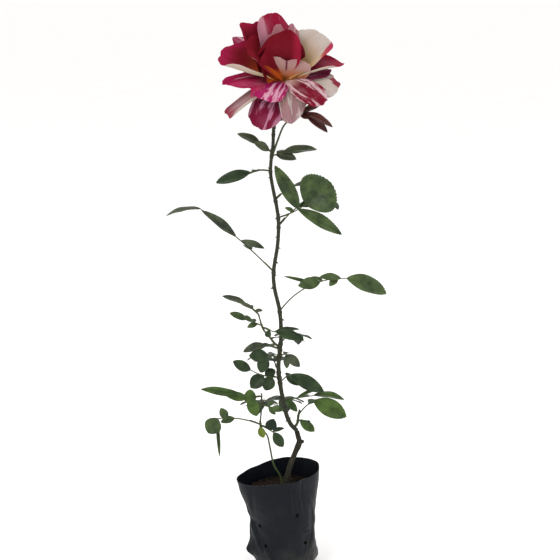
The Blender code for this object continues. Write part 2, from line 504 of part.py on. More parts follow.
def leaflet_places(leaf, path, dice):
    """Foot, direction, face normal, length and width of each leaflet: the end one, then pair by pair."""
    along = (path[-1] - path[-2]).normalized()
    level = UP.cross(along).normalized()
    normal = Matrix.Rotation(math.radians(leaf.roll), 3, along) @ along.cross(level)
    nod = Matrix.Rotation(math.radians(leaf.nod), 3, level)
    for share, reach, width, turn in PLACED_LEAFLETS.get(leaf.name, ()):
        spot = share * (len(path) - 1)
        foot = path[int(spot)].lerp(path[min(int(spot) + 1, len(path) - 1)], spot - int(spot))
        chord = Vector(reach).normalized()
        turn = math.radians(turn + dice.uniform(-4, 4))
        face = UP * math.cos(turn) - Vector((0, 1, 0)) * math.sin(turn)
        face = (face - chord * face.dot(chord)).normalized()
        arch = Matrix.Rotation(LEAFLET_BEND / 2, 3, chord.cross(face))
        root = foot - arch @ chord * LEAFLET_ROOT * MM
        yield root, arch @ chord, arch @ face, Vector(reach).length * BEND_LENGTHENS, width
    if leaf.name in PLACED_LEAFLETS:
        return
    end_root = path[-1] - along * END_LEAFLET_LAP * MM
    yield end_root, nod @ along, nod @ normal, leaf.blade, leaf.blade * leaf.slim
    total = leaf.stalk
    for pair in range(leaf.pairs):
        back = leaf.blade * (FIRST_PAIR_BACK + PAIR_SPACING * pair) * MM
        share = max(1 - back / (total * MM), 0.12) * (len(path) - 1)
        index = min(int(share), len(path) - 2)
        foot = path[index].lerp(path[index + 1], share - index)
        here = (path[index + 1] - path[index]).normalized()
        for hand in (-1, 1):
            fan = math.radians(leaf.fan + dice.uniform(-6, 6)) * hand
            tilt = math.radians(leaf.tilt * hand + dice.uniform(-10, 10))
            face = (normal - here * normal.dot(here)).normalized()
            direction = Matrix.Rotation(fan, 3, face) @ here
            face = Matrix.Rotation(tilt, 3, direction) @ face
            length = leaf.blade * leaf.side * PAIR_SHRINK ** pair * dice.uniform(0.94, 1.04)
            root = foot + (here * hand * PAIR_STAGGER - direction * LEAFLET_ROOT) * MM
            yield root, direction, face, length, length * min(leaf.slim, SIDE_SLIM_MOST)


def make_leaf(leaf):
    """One compound leaf; where a union comes out open, the leaflets are dealt again from the next seed."""
    path = stalk_path(leaf)
    last = len(path) - 1
    radii = [(STALK_RADIUS + (STALK_TIP_RADIUS - STALK_RADIUS) * i / last) * MM for i in range(last + 1)]
    for deal in range(LEAF_DEALS):
        dice = random.Random(leaf.name + "_" * deal)
        pieces = [mesh_of(tube_rings(path, radii, STALK_SIDES))]
        for foot, direction, face, length, width in leaflet_places(leaf, path, dice):
            pieces.append(leaflet_mesh(foot, direction, face, length * MM, width * MM))
        thing = fuse(leaf.name, pieces, "young_leaf" if "bronze" in leaf.name else "leaf")
        if is_closed(thing.data):
            return thing
        bpy.data.objects.remove(thing)
    raise ValueError(leaf.name + " doesn't close")


# ---- flower

def flower_axes():
    right = Vector((1.0, 0.0, 0.0))
    axis = Vector((0.0, -math.cos(FLOWER_RISE), math.sin(FLOWER_RISE)))
    return right, axis.cross(right).normalized(), axis


def hip_foot():
    return FLOWER_BASE - flower_axes()[2] * HIP_LENGTH


def petal_stance(petal, share, place):
    """At a share of a petal's length: which way it heads, which way is across, and which way it faces."""
    right, top, axis = flower_axes()
    turn = math.radians(petal.turn)
    outward = right * math.cos(turn) + top * math.sin(turn)
    sideways = axis.cross(outward)
    lean = math.radians(petal.sweep * place)
    away = outward * math.cos(lean) + sideways * math.sin(lean)
    across = sideways * math.cos(lean) - outward * math.sin(lean)
    lip = min(max((share - LIP_FROM) / (1 - LIP_FROM), 0), 1)
    opening = petal.opens[0] + (petal.opens[1] - petal.opens[0]) * min(place + PETAL_LEAD, 1.05)
    opening = math.radians(opening + petal.lip * lip * lip * (3 - 2 * lip))
    heading = away * math.sin(opening) + axis * math.cos(opening)
    facing = axis * math.sin(opening) - away * math.cos(opening)
    return heading, across, facing


def petal_mesh(petal):
    axis = flower_axes()[2]
    build = bmesh.new()
    columns = len(petal.edge)
    sheets = [[[] for _ in range(PETAL_ROWS + 1)] for _ in range(2)]
    for column in range(columns):
        across = 2 * column / (columns - 1) - 1
        side = across > 0
        reach = petal.edge[column] * (PETAL_CORNER if abs(across) == 1 else 1)
        spot = FLOWER_HEART - axis * PETAL_SINK
        for row in range(PETAL_ROWS + 1):
            share = row / PETAL_ROWS
            if row:
                halfway = share - 0.5 / PETAL_ROWS
                spot = spot + petal_stance(petal, halfway, halfway * reach)[0] * (
                    petal.length * reach * MM / PETAL_ROWS)
            _, sideways, facing = petal_stance(petal, share, share * reach)
            grown = math.sin(math.pi / 2 * min(share * reach / PETAL_SHOULDER, 1)) ** 1.3
            half = (petal.feet[side] + (1 - petal.feet[side]) * grown) * petal.halves[side] * MM
            if not row:
                half *= PETAL_PINCH
            bow = math.radians(petal.cup) * min(1.0, CUP_AT_FOOT + share * reach)
            slopes = [bow * across * (step + 0.5) / CUP_STEPS for step in range(CUP_STEPS)]
            over = half * across * sum(math.cos(slope) for slope in slopes) / CUP_STEPS
            rise = half * across * sum(math.sin(slope) for slope in slopes) / CUP_STEPS
            outer = facing * math.cos(bow * across) - sideways * math.sin(bow * across)
            for sheet, lift in zip(sheets, (PETAL_THICKNESS / 2, -PETAL_THICKNESS / 2)):
                sheet[row].append(build.verts.new(spot + sideways * over + facing * rise + outer * lift))
    for sheet in sheets:
        for low, high in zip(sheet, sheet[1:]):
            for i in range(columns - 1):
                build.faces.new((low[i], low[i + 1], high[i + 1], high[i]))
    border = [[line[0] for line in sheet] + sheet[-1][1:] + [line[-1] for line in sheet[-2::-1]]
              + sheet[0][-2:0:-1] for sheet in sheets]
    for i in range(len(border[0])):
        j = (i + 1) % len(border[0])
        build.faces.new((border[0][i], border[0][j], border[1][j], border[1][i]))
    bmesh.ops.triangulate(build, faces=build.faces)
    bmesh.ops.recalc_face_normals(build, faces=build.faces)
    mesh = bpy.data.meshes.new("petal")
    build.to_mesh(mesh)
    build.free()
    return mesh


def make_flower():
    _, _, axis = flower_axes()
    pieces = [petal_mesh(petal) for petal in PETALS]
    core = [hip_foot().lerp(FLOWER_HEART, share) for share, _ in HIP_SHAPE]
    radii = [HEART_RADIUS * width for _, width in HIP_SHAPE]
    pieces.append(mesh_of(tube_rings(core, radii, HEART_SIDES, axis, axis)))
    return fuse("rose_bloom", pieces, "petal")


# ---- joining

def apply_modifiers(thing):
    """Keeps the evaluated mesh as the object's own."""
    graph = bpy.context.evaluated_depsgraph_get()
    mesh = bpy.data.meshes.new_from_object(thing.evaluated_get(graph))
    thing.modifiers.clear()
    thing.data = mesh


def is_closed(mesh):
    """True where every edge has just two faces."""
    build = bmesh.new()
    build.from_mesh(mesh)
    closed = all(len(edge.link_faces) == 2 for edge in build.edges)
    build.free()
    return closed


def keep_main_body(mesh):
    """Drops loose scraps and the inner skins of sealed hollows, so one closed body is left."""
    build = bmesh.new()
    build.from_mesh(mesh)
    bmesh.ops.remove_doubles(build, verts=build.verts, dist=WELD)
    bmesh.ops.dissolve_degenerate(build, dist=WELD, edges=build.edges)
    bmesh.ops.triangulate(build, faces=build.faces)
    left = set(build.faces)
    bodies = []
    while left:
        body = {left.pop()}
        edge_of = list(body)
        while edge_of:
            face = edge_of.pop()
            for edge in face.edges:
                for other in edge.link_faces:
                    if other in left:
                        left.remove(other)
                        body.add(other)
                        edge_of.append(other)
        bodies.append(body)
    bodies.sort(key=len, reverse=True)
    for body in bodies[1:]:
        bmesh.ops.delete(build, geom=list(body), context="FACES")
    loose = [vertex for vertex in build.verts if not vertex.link_faces]
    bmesh.ops.delete(build, geom=loose, context="VERTS")
    build.to_mesh(mesh)
    build.free()


def fuse(name, pieces, colour):
    """Joins closed meshes into one solid by one Boolean union over a collection."""
    thing = finish(name, pieces[0], colour)
    group = bpy.data.collections.new(name + "_pieces")
    bpy.context.scene.collection.children.link(group)
    for mesh in pieces[1:]:
        group.objects.link(bpy.data.objects.new("piece", mesh))
    join = thing.modifiers.new("join", "BOOLEAN")
    join.operation = "UNION"
    join.operand_type = "COLLECTION"
    join.collection = group
    apply_modifiers(thing)
    for piece in list(group.objects):
        bpy.data.objects.remove(piece)
    bpy.data.collections.remove(group)
    keep_main_body(thing.data)
    return thing


def main():
    for thing in list(bpy.data.objects):
        bpy.data.objects.remove(thing)
    make_bag()
    make_soil()
    make_limb(STEM_FOOT)
    make_limb(THIN_SHOOT)
    make_limb(MAIN_CANE)
    make_limb(SIDE_SHOOT, MAIN_CANE)
    make_limb(SPUR_SHOOT, MAIN_CANE)
    make_limb(FLOWER_SIDE_SHOOT, MAIN_CANE)
    for leaf in LEAVES:
        make_leaf(leaf)
    make_flower()


main()
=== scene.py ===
import json
import random
from contextlib import contextmanager
from math import copysign, cos, degrees, exp, hypot, pi, radians, remainder, sin, sqrt, tan

import bpy
from mathutils import Matrix, Vector, noise

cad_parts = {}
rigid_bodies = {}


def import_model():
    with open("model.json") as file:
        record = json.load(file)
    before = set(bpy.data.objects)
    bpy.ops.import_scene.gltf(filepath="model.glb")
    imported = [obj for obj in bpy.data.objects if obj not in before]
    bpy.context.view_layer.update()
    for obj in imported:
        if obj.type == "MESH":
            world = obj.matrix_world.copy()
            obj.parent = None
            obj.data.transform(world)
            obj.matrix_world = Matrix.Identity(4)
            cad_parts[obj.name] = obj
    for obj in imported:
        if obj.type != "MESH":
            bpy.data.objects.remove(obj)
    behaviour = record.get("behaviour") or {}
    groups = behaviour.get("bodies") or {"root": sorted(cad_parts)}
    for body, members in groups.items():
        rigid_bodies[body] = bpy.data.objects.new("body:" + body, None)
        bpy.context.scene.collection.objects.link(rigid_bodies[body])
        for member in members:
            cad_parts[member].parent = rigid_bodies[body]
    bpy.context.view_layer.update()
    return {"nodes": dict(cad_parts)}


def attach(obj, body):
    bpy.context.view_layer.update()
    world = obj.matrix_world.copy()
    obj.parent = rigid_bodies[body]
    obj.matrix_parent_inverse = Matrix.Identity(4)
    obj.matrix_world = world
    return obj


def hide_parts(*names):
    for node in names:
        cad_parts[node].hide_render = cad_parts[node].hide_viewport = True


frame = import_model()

# A young striped rose in a black film nursery bag, dressed over its solids.
# Metres, +Z up, the flower faces -Y. Sizes in the dictionaries are in mm and degrees unless noted.

mm = 0.001
up = Vector((0, 0, 1))
weldWithin = 0.00001  # m
fullTurn = 6.3  # where a direction is drawn by lot, in radians


def linear(hexColour):  # an sRGB hex colour as linear RGBA
    parts = [int(hexColour[i:i + 2], 16) / 255 for i in (1, 3, 5)]
    return [p / 12.92 if p <= 0.04045 else ((p + 0.055) / 1.055) ** 2.4 for p in parts] + [1.0]


def blendHex(first, second, share):  # a colour part of the way from one hex colour to another
    pair = zip((first[1:3], first[3:5], first[5:7]), (second[1:3], second[3:5], second[5:7]))
    return "#" + "".join("%02x" % round(int(a, 16) + (int(b, 16) - int(a, 16)) * share) for a, b in pair)


def addNode(tree, kind, links=None, **settings):  # adds a node with its settings and its links
    node = tree.nodes.new("ShaderNode" + kind)
    for name, value in settings.items():
        if hasattr(node, name):
            setattr(node, name, value)
        else:
            node.inputs[name.replace("_", " ")].default_value = value
    for name, source in (links or {}).items():
        tree.links.new(source, node.inputs[name])
    return node


def newMaterial(name, roughness, **sockets):  # a material with one Principled shader
    material = bpy.data.materials.new(name)
    material.use_nodes = True
    shader = material.node_tree.nodes["Principled BSDF"]
    shader.inputs["Roughness"].default_value = roughness
    for socket, value in sockets.items():
        shader.inputs[socket.replace("_", " ")].default_value = value
    return material, material.node_tree, shader


def feed(tree, socket, value):  # what goes into a socket: an output, a hex colour or a plain value
    if isinstance(value, bpy.types.NodeSocket):
        tree.links.new(value, socket)
    else:
        socket.default_value = linear(value) if isinstance(value, str) else value


def mixColour(tree, factor, first, second):
    mix = addNode(tree, "Mix", data_type="RGBA")
    for socket, value in ((0, factor), (6, first), (7, second)):
        feed(tree, mix.inputs[socket], value)
    return mix.outputs[2]


def reckon(tree, operation, first, second):
    node = addNode(tree, "Math", operation=operation)
    feed(tree, node.inputs[0], first)
    feed(tree, node.inputs[1], second)
    return node.outputs[0]


def ranged(tree, value, low, high, first=0, last=1, kind="SMOOTHSTEP"):  # brings a value to another range
    return addNode(tree, "MapRange", {"Value": value}, interpolation_type=kind,
                   From_Min=low, From_Max=high, To_Min=first, To_Max=last).outputs[0]


def grainOf(tree, place, scale, detail, roughness=0.5):
    grain = addNode(tree, "TexNoise", {"Vector": place}, Scale=scale, Detail=detail, Roughness=roughness)
    return grain.outputs[0]


def bump(tree, shader, height, strength, distance):  # relief too fine to model, distance in mm
    node = addNode(tree, "Bump", {"Height": height}, Strength=strength, Distance=distance * mm)
    tree.links.new(node.outputs["Normal"], shader.inputs["Normal"])


@contextmanager
def editing(chosen="SELECT"):  # edit mode, with everything or nothing selected, or what was
    bpy.ops.object.mode_set(mode="EDIT")
    if chosen:
        bpy.ops.mesh.select_all(action=chosen)
    yield
    bpy.ops.object.mode_set(mode="OBJECT")


def clearSelection():
    if bpy.context.object and bpy.context.object.mode != "OBJECT":
        bpy.ops.object.mode_set(mode="OBJECT")
    bpy.ops.object.select_all(action="DESELECT")


def makeActive(piece):
    clearSelection()
    piece.select_set(True)
    bpy.context.view_layer.objects.active = piece


def keepModifiers(piece):  # applies what modifiers the piece has, in order
    makeActive(piece)
    for modifier in list(piece.modifiers):
        bpy.ops.object.modifier_apply(modifier=modifier.name)


def joinAs(name, pieces):  # joins pieces into one, named
    makeActive(pieces[0])
    for piece in pieces[1:]:
        piece.select_set(True)
    bpy.ops.object.join()
    pieces[0].name = pieces[0].data.name = name
    return pieces[0]


def copyOf(template):
    copy = template.copy()
    copy.data = template.data.copy()
    bpy.context.collection.objects.link(copy)
    return copy


def smoothShade(piece, sharpOver=60):
    makeActive(piece)
    bpy.ops.object.shade_smooth_by_angle(angle=radians(sharpOver))


def layGrid(name, across, along, place, isRound=False):
    # a flat grid laid over the surface place(u, v): u from 0 to 1 across it, v along it, as on its UV map
    clearSelection()
    bpy.ops.mesh.primitive_grid_add(x_subdivisions=across, y_subdivisions=along, size=1, location=(0, 0, 0))
    piece = bpy.context.object
    piece.name = piece.data.name = name
    for vertex in piece.data.vertices:
        vertex.co = place(vertex.co.x + 0.5, vertex.co.y + 0.5)
    if isRound:  # its two sides meet, and its ends close on a point
        with editing():
            bpy.ops.mesh.remove_doubles(threshold=weldWithin)
            bpy.ops.mesh.normals_make_consistent(inside=False)
    return piece


def wall(piece, thickness, offset=-1, skinSlot=0, rimSlot=None):  # thickens a sheet, in mm
    solid = piece.modifiers.new("wall", "SOLIDIFY")
    solid.thickness = thickness * mm
    solid.offset = offset
    solid.use_even_offset = False
    solid.material_offset = skinSlot
    solid.material_offset_rim = skinSlot if rimSlot is None else rimSlot
    keepModifiers(piece)


def setDown(piece, skin, sharpOver, slot, *nodes):  # skinned, shaded, on the plant, in place of its CAD nodes
    if skin:
        piece.data.materials.append(skin)
    if sharpOver:
        smoothShade(piece, sharpOver)
    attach(piece, "root")
    if nodes:
        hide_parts(*nodes)


def lerp(a, b, t):
    return a + (b - a) * t


def lengthOf(path):
    return sum((b - a).length for a, b in zip(path, path[1:]))


def pointAlong(points, spot):  # between the points, spot counted in steps
    index = min(int(spot), len(points) - 2)
    return points[index].lerp(points[index + 1], spot - index)


def towards(heading):  # level, 0 = right, 90 = back
    return Vector((cos(radians(heading)), sin(radians(heading)), 0))


def smoothStep(low, high, value):
    t = min(max((value - low) / (high - low), 0), 1)
    return t * t * (3 - 2 * t)


# The camera stands a little over a metre in front of the plant and looks down on it.
lookFrom = dict(place=(-3, -1150, 594), down=13.8, lens=76.24)

bpy.ops.object.camera_add(location=[c * mm for c in lookFrom["place"]],
                          rotation=(radians(90 - lookFrom["down"]), 0, 0))
camera = bpy.context.object
camera.data.lens = lookFrom["lens"]
camera.data.clip_end = 200
bpy.context.scene.camera = camera

# Studio: a plain pale floor that runs out of sight, a bright even surround and three soft lamps.
studio = dict(
    floor="#f8f7f6", mottle="#e9e7e4", floorReach=60, surround="#ffffff", surroundStrength=1.08,
    lookAt=(0, 0, 0.3), lamps=(  # place in m, size in m, watts
        ("keyLamp", (-1.3, -1.5, 2.1), 1.0, 24),
        ("fillLamp", (1.9, -0.9, 1.2), 1.4, 8),
        ("backLamp", (0.5, 1.6, 1.9), 1.2, 10)))

bpy.ops.mesh.primitive_circle_add(vertices=96, radius=studio["floorReach"], fill_type="NGON")
floor = bpy.context.object
floor.name = "studioFloor"
floorPaint, tree, shader = newMaterial("matt pale floor paint", 0.9)  # rolled on: no gloss, barely mottled
mottle = grainOf(tree, addNode(tree, "TexCoord").outputs["Object"], 6, 3)
pale = mixColour(tree, mottle, studio["floor"], blendHex(studio["floor"], studio["mottle"], 0.3))
tree.links.new(pale, shader.inputs["Base Color"])
floor.data.materials.append(floorPaint)

world = bpy.data.worlds.new("softSurround")
bpy.context.scene.world = world
world.use_nodes = True
surround = world.node_tree.nodes["Background"].inputs
surround["Color"].default_value = linear(studio["surround"])
surround["Strength"].default_value = studio["surroundStrength"]
for name, place, size, power in studio["lamps"]:
    clearSelection()
    bpy.ops.object.light_add(type="AREA", location=place)
    lamp = bpy.context.object
    lamp.name = name
    lamp.data.size = size
    lamp.data.energy = power
    lamp.rotation_euler = (Vector(studio["lookAt"]) - Vector(place)).to_track_quat("-Z", "Y").to_euler()
bpy.context.scene.view_settings.view_transform = "Standard"
print("stage and camera set")

# The bag: a lay-flat tube of black film, open at the top, with a welded seam across the bottom.
bag = dict(
    height=104, film=0.7, seamTurn=25, backRise=6, backRiseAt=-20,
    profile=(  # height, centre x, half width along the seam, half width across it
        (0, 5.0, 22.0, 20.0), (4, 5.0, 28.0, 25.0), (12, 3.5, 32.0, 29.0), (24, 1.2, 33.5, 32.5),
        (40, 0.0, 33.5, 33.5), (60, -0.5, 34.0, 33.5), (78, -2.5, 38.5, 31.5), (92, -4.0, 43.0, 28.0),
        (104, -4.7, 45.5, 27.0)),
    ears=((180, 28, 7.5, 7), (0, 2, 6.0, 15)), earSpread=13, foldProud=1.6,
    # punched drain holes: turn about the bag (0 = right, -90 = front) and height
    holes=((-133, 57), (-122, 36), (-47, 38), (-60, 70), (-8, 52), (38, 34), (62, 60), (118, 36), (140, 62),
           (176, 50)),
    holeSize=4.2,
    # creases, each from one place to another, how deep and how wide in mm
    creases=((-152, 60, -128, 30, 2.2, 3.2), (-166, 52, -150, 22, 1.6, 2.8), (-128, 46, -104, 14, 1.3, 3.0),
             (-30, 44, -52, 12, 1.5, 3.0), (-12, 66, -24, 30, 1.2, 2.6), (-78, 34, -96, 6, 1.2, 3.0),
             (-104, 84, -96, 62, 0.7, 3.0), (-58, 100, -66, 72, 0.9, 3.4), (-36, 102, -44, 76, 1.1, 3.0),
             (-132, 99, -140, 70, 0.9, 3.6), (-70, 56, -38, 50, 0.7, 2.6), (-112, 64, -84, 58, 0.6, 2.8),
             (20, 70, 34, 30, 1.6, 3.2), (58, 96, 66, 60, 1.2, 3.4), (92, 44, 70, 12, 1.6, 3.2),
             (128, 60, 104, 26, 1.6, 3.2), (150, 92, 142, 56, 1.2, 3.4), (168, 40, 150, 10, 1.6, 3.0)),
    crumple=0.9, pleats=0.8, lumps=0.45, rimWave=0.8, across=260, up=150)
creasing = dict(  # sizes of what the film does, in mm; shares and waves
    bigCell=17, smallCell=8, wanderOver=21, lumpOver=6.5, footLow=8, footHigh=80, pleats=5, pleatsFrom=55,
    runsOn=0.2, ridgeAt=0.9, ridge=0.7, valley=0.6)
filmRound = 34  # about the bag's radius where its film is crumpled
filmPerDegree = 0.59  # mm of film to a degree of turn


def profileAt(height):  # centre x and the two half widths at a height
    rows = bag["profile"]
    for low, high in zip(rows, rows[1:]):
        if height <= high[0]:
            t = max(0, (height - low[0]) / (high[0] - low[0]))
            return [lerp(a, b, t) for a, b in zip(low[1:], high[1:])]
    return rows[-1][1:]


def creased(angle, height):  # how far the film stands in or out of its round, in mm
    east, north = cos(angle), sin(angle)
    spot = Vector((east * filmRound, north * filmRound, height * 0.8))
    big = noise.voronoi(spot / creasing["bigCell"] + Vector((3.1, 7.7, 1.3)))[0][0]
    small = noise.voronoi(Vector((spot.x, spot.y, height * 1.3)) / creasing["smallCell"])[0][0]
    low = 1 - smoothStep(creasing["footLow"], creasing["footHigh"], height)
    crumple = (0.7 - big) * lerp(0.8, 2.2, low) + (0.5 - small) * lerp(0.35, 0.9, low)
    wander = noise.noise(spot / creasing["wanderOver"]) * 3
    pleat = sin(angle * creasing["pleats"] + wander + height * 0.03) * 0.9
    pleat *= smoothStep(creasing["pleatsFrom"], bag["height"], height)
    lump = noise.noise(spot / creasing["lumpOver"]) * smoothStep(6, 20, height)
    lump *= 1 - smoothStep(80, 92, height)
    fold = 0
    for turn, low, otherTurn, high, depth, width in bag["creases"]:
        start, end = Vector((turn * filmPerDegree, low)), Vector((otherTurn * filmPerDegree, high))
        turned = remainder(angle + radians(bag["seamTurn"]), 2 * pi)
        place = Vector((degrees(turned) * filmPerDegree, height + noise.noise(spot / 9) * 2)) - start
        run = end - start
        share = place.dot(run) / run.length_squared
        past = creasing["runsOn"]
        if -past < share < 1 + past:
            off = (place.x * run.y - place.y * run.x) / run.length / width
            ends = smoothStep(-past, 0.25, share) * (1 - smoothStep(0.75, 1 + past, share))
            ridge = creasing["ridge"] * exp(-(off / creasing["ridgeAt"] - 1) ** 2)
            fold += depth * ends * (ridge - exp(-(off / creasing["valley"]) ** 2))
    return crumple * bag["crumple"] + pleat * bag["pleats"] + lump * bag["lumps"] + fold


def filmPoint(around, height, inset=0.0, crumpled=True):  # around is a share of a turn from one end of the seam
    angle = 2 * pi * around
    centre, along, across = profileAt(height)
    reach = along * across / hypot(across * cos(angle), along * sin(angle))
    for end, earHeight, earReach, earRise in bag["ears"]:
        off = remainder(angle - radians(end), 2 * pi) / radians(bag["earSpread"])
        low = exp(-abs((height - earHeight) / earRise) ** 1.5)
        fold = exp(-abs(off) * 1.5) * 0.7 + exp(-off * off) * 0.3
        reach += fold * (bag["foldProud"] + earReach * low)
    if crumpled:
        reach += creased(angle, height) * smoothStep(0, 6, height)
    turned = angle + radians(bag["seamTurn"])
    share = height / bag["height"]
    lift = bag["backRise"] * max(0, sin(turned - radians(bag["backRiseAt"]))) * share ** 4
    if crumpled:
        wave = noise.noise(Vector((cos(angle) * 2, sin(angle) * 2, 0.5)))
        lift += wave * bag["rimWave"] * share ** 6
    reach -= inset
    return Vector((centre + reach * cos(turned), reach * sin(turned), height + lift)) * mm


film = layGrid("bagFilm", bag["across"], bag["up"],
               lambda u, v: filmPoint(u, bag["height"] * v), isRound=True)
with editing("DESELECT"):
    pass
holes = [filmPoint(((turn - bag["seamTurn"]) / 360) % 1, height) for turn, height in bag["holes"]]
for face in film.data.polygons:
    face.select = any((face.center - hole).length < bag["holeSize"] * 0.42 * mm for hole in holes)
with editing(None):
    bpy.ops.mesh.delete(type="FACE")
for vertex in film.data.vertices:  # the punched edge is drawn onto its circle
    for hole in holes:
        away = vertex.co - hole
        if away.length < bag["holeSize"] * 0.68 * mm:
            vertex.co = hole + away.normalized() * bag["holeSize"] / 2 * mm
    vertex.select = vertex.co.z < 0.01 * mm
with editing(None):  # the bottom edge is drawn in and closed
    bpy.ops.mesh.select_mode(type="EDGE")
    bpy.ops.mesh.select_mode(type="VERT")
    middle = (bag["profile"][0][1] * mm, 0, 0)
    for left in (0.75, 0.5, 0.25):
        bpy.ops.mesh.extrude_edges_move()
        shrink = left / (left + 0.25)
        bpy.ops.transform.resize(value=(shrink, shrink, 1), center_override=middle)
    bpy.ops.mesh.extrude_edges_move()
    bpy.ops.mesh.merge(type="COLLAPSE")
    bpy.ops.mesh.select_all(action="SELECT")
    bpy.ops.mesh.normals_make_consistent(inside=False)
wall(film, bag["film"])

# Black polythene: blown film with carbon black, a low sheen, dulled by dried splashes of soil near the foot.
polythene, tree, shader = newMaterial("black polythene film", 0.4, Specular_IOR_Level=0.12)
place = addNode(tree, "TexCoord").outputs["Object"]
broad = grainOf(tree, place, 28, 4, 0.55)  # clouds about 35 mm wide
fine = grainOf(tree, place, 420, 3, 0.6)  # grit about 2.5 mm
height = addNode(tree, "SeparateXYZ", {"Vector": place}).outputs["Z"]
dust = reckon(tree, "MULTIPLY", ranged(tree, height, 0, 0.055, 0.85, 0.12), ranged(tree, broad, 0.35, 0.75))
dusty = mixColour(tree, dust, mixColour(tree, broad, "#0a0d12", "#12161e"), "#35362f")
tree.links.new(dusty, shader.inputs["Base Color"])
tree.links.new(ranged(tree, fine, 0, 1, 0.34, 0.58, "LINEAR"), shader.inputs["Roughness"])
bump(tree, shader, fine, 0.25, 0.25)
setDown(film, polythene, 50, "bag_film", "grow_bag")
print("bag made,", len(film.data.polygons), "faces")

# Compost: a closed, lumpy filling with crumbs and slivers of bark on it.
compost = dict(top=90, mound=3, inset=1.6, floor=1.6, lumps=1.5, crumbs=420, slivers=60)
compostEdge = compost["top"] - compost["mound"]
compostMiddle = profileAt(compostEdge)[0] * mm


def moundAt(share):  # how far the mound stands over the rim, at a share of the way to it
    return compost["mound"] * cos(share * pi / 2) ** 0.6


def compostPoint(u, v):
    if v <= 0:
        return Vector((bag["profile"][0][1], 0, compost["floor"])) * mm
    if v < 0.4:  # the side, just inside the film
        return filmPoint(u, max(compost["floor"], compostEdge * v / 0.4), compost["inset"], False)
    share = 1 - (v - 0.4) / 0.6
    rim = filmPoint(u, compostEdge, compost["inset"], False)
    rim.z = compostEdge * mm
    point = Vector((compostMiddle, 0, compostEdge * mm)).lerp(rim, share)
    if share < 1:
        point.z += moundAt(share) * mm
        rough = noise.fractal(point / (5 * mm), 0.7, 2.2, 4)
        rough += 0.6 * noise.fractal(point / (1.7 * mm), 0.7, 2.0, 3)
        point.z += compost["lumps"] * rough * mm * min(1, 6 * (1 - share))
    return point


soil = layGrid("compost", 120, 110, compostPoint, isRound=True)

dice = random.Random("crumbs")
clearSelection()
bpy.ops.mesh.primitive_ico_sphere_add(subdivisions=2, radius=1)
lump = bpy.context.object
for vertex in lump.data.vertices:  # one broken clod, then copied, turned and stretched
    vertex.co *= 1 + 0.45 * noise.noise(vertex.co * 1.4) + 0.2 * noise.noise(vertex.co * 4)
clearSelection()
bpy.ops.mesh.primitive_cube_add(size=1)
sliver = bpy.context.object
sliver.scale = (4.0, 1.1, 0.5)
bpy.ops.object.transform_apply(location=False, rotation=False, scale=True)
with editing():
    bpy.ops.mesh.subdivide(number_cuts=2, fractal=1.2, seed=4)


def scatter(template, name, count, smallest, largest, sink):
    scattered = []
    for k in range(count):
        copy = copyOf(template)
        around, share = dice.random(), sqrt(dice.random())
        rim = filmPoint(around, compostEdge, 3.4, False)
        spot = Vector((compostMiddle, 0, 0)).lerp(Vector((rim.x, rim.y, 0)), share)
        spot.z = (compostEdge + moundAt(share) + dice.uniform(-0.3, 1.2) - sink) * mm
        size = dice.uniform(smallest, largest) * mm
        turn = Matrix.Rotation(dice.uniform(0, fullTurn), 4, "Z")
        turn = turn @ Matrix.Rotation(dice.uniform(-0.5, 0.5), 4, "X")
        stretch = Matrix.Diagonal((size, size * dice.uniform(0.6, 1), size * dice.uniform(0.5, 0.9), 1))
        copy.data.transform(Matrix.Translation(spot) @ turn @ stretch)
        scattered.append(copy)
    bpy.data.objects.remove(template)
    return joinAs(name, scattered)


crumbs = scatter(lump, "compostCrumbs", compost["crumbs"], 0.6, 2.3, 0.2)
slivers = scatter(sliver, "barkSlivers", compost["slivers"], 0.8, 1.6, 0.0)


def soilMaterial(name, dark, light, scale, relief):
    # peat and composted bark: matt, crumbly, darker where it is wet; the colours it is given are the soil's own
    # dark brown, darkened further with painted shade
    material, tree, shader = newMaterial(name, 0.95, Specular_IOR_Level=0.2)
    place = addNode(tree, "TexCoord").outputs["Object"]
    grain = grainOf(tree, place, scale, 5, 0.65)
    spots = addNode(tree, "TexVoronoi", {"Vector": place}, Scale=scale * 1.7).outputs["Distance"]
    shade = ranged(tree, spots, 0, 1, 0.35, 0, "LINEAR")
    colour = mixColour(tree, shade, mixColour(tree, grain, dark, light), dark)
    tree.links.new(colour, shader.inputs["Base Color"])
    bump(tree, shader, grain, 0.6, relief)
    return material


# Near-black colours: the compost's own dark brown with painted shade of the shadowed inside of the bag.
setDown(soil, soilMaterial("peat compost with painted shade", "#0b0705", "#20150d", 260, 0.8), 40, "compost", "potting_soil")
setDown(crumbs, soilMaterial("peat crumbs", "#0f0a07", "#2a1c12", 500, 0.4), 50, "compost")
setDown(slivers, soilMaterial("composted bark chips", "#1a100a", "#48311f", 400, 0.3), 30, "compost")
print("compost made")

# Canes and shoots: points along the middle of each (right, back, up), radius at foot and tip.
flower = dict(base=(-6, -8, 508), heart=(1, -8, 512), rise=45, hipLength=15, hipRadius=8)
flowerRight = Vector((1, 0, 0))
flowerAxis = Vector((0, -cos(radians(flower["rise"])), sin(radians(flower["rise"]))))
flowerTop = flowerAxis.cross(flowerRight).normalized()
heart = Vector(flower["heart"])
hipFoot = Vector(flower["base"]) - flowerAxis * flower["hipLength"]

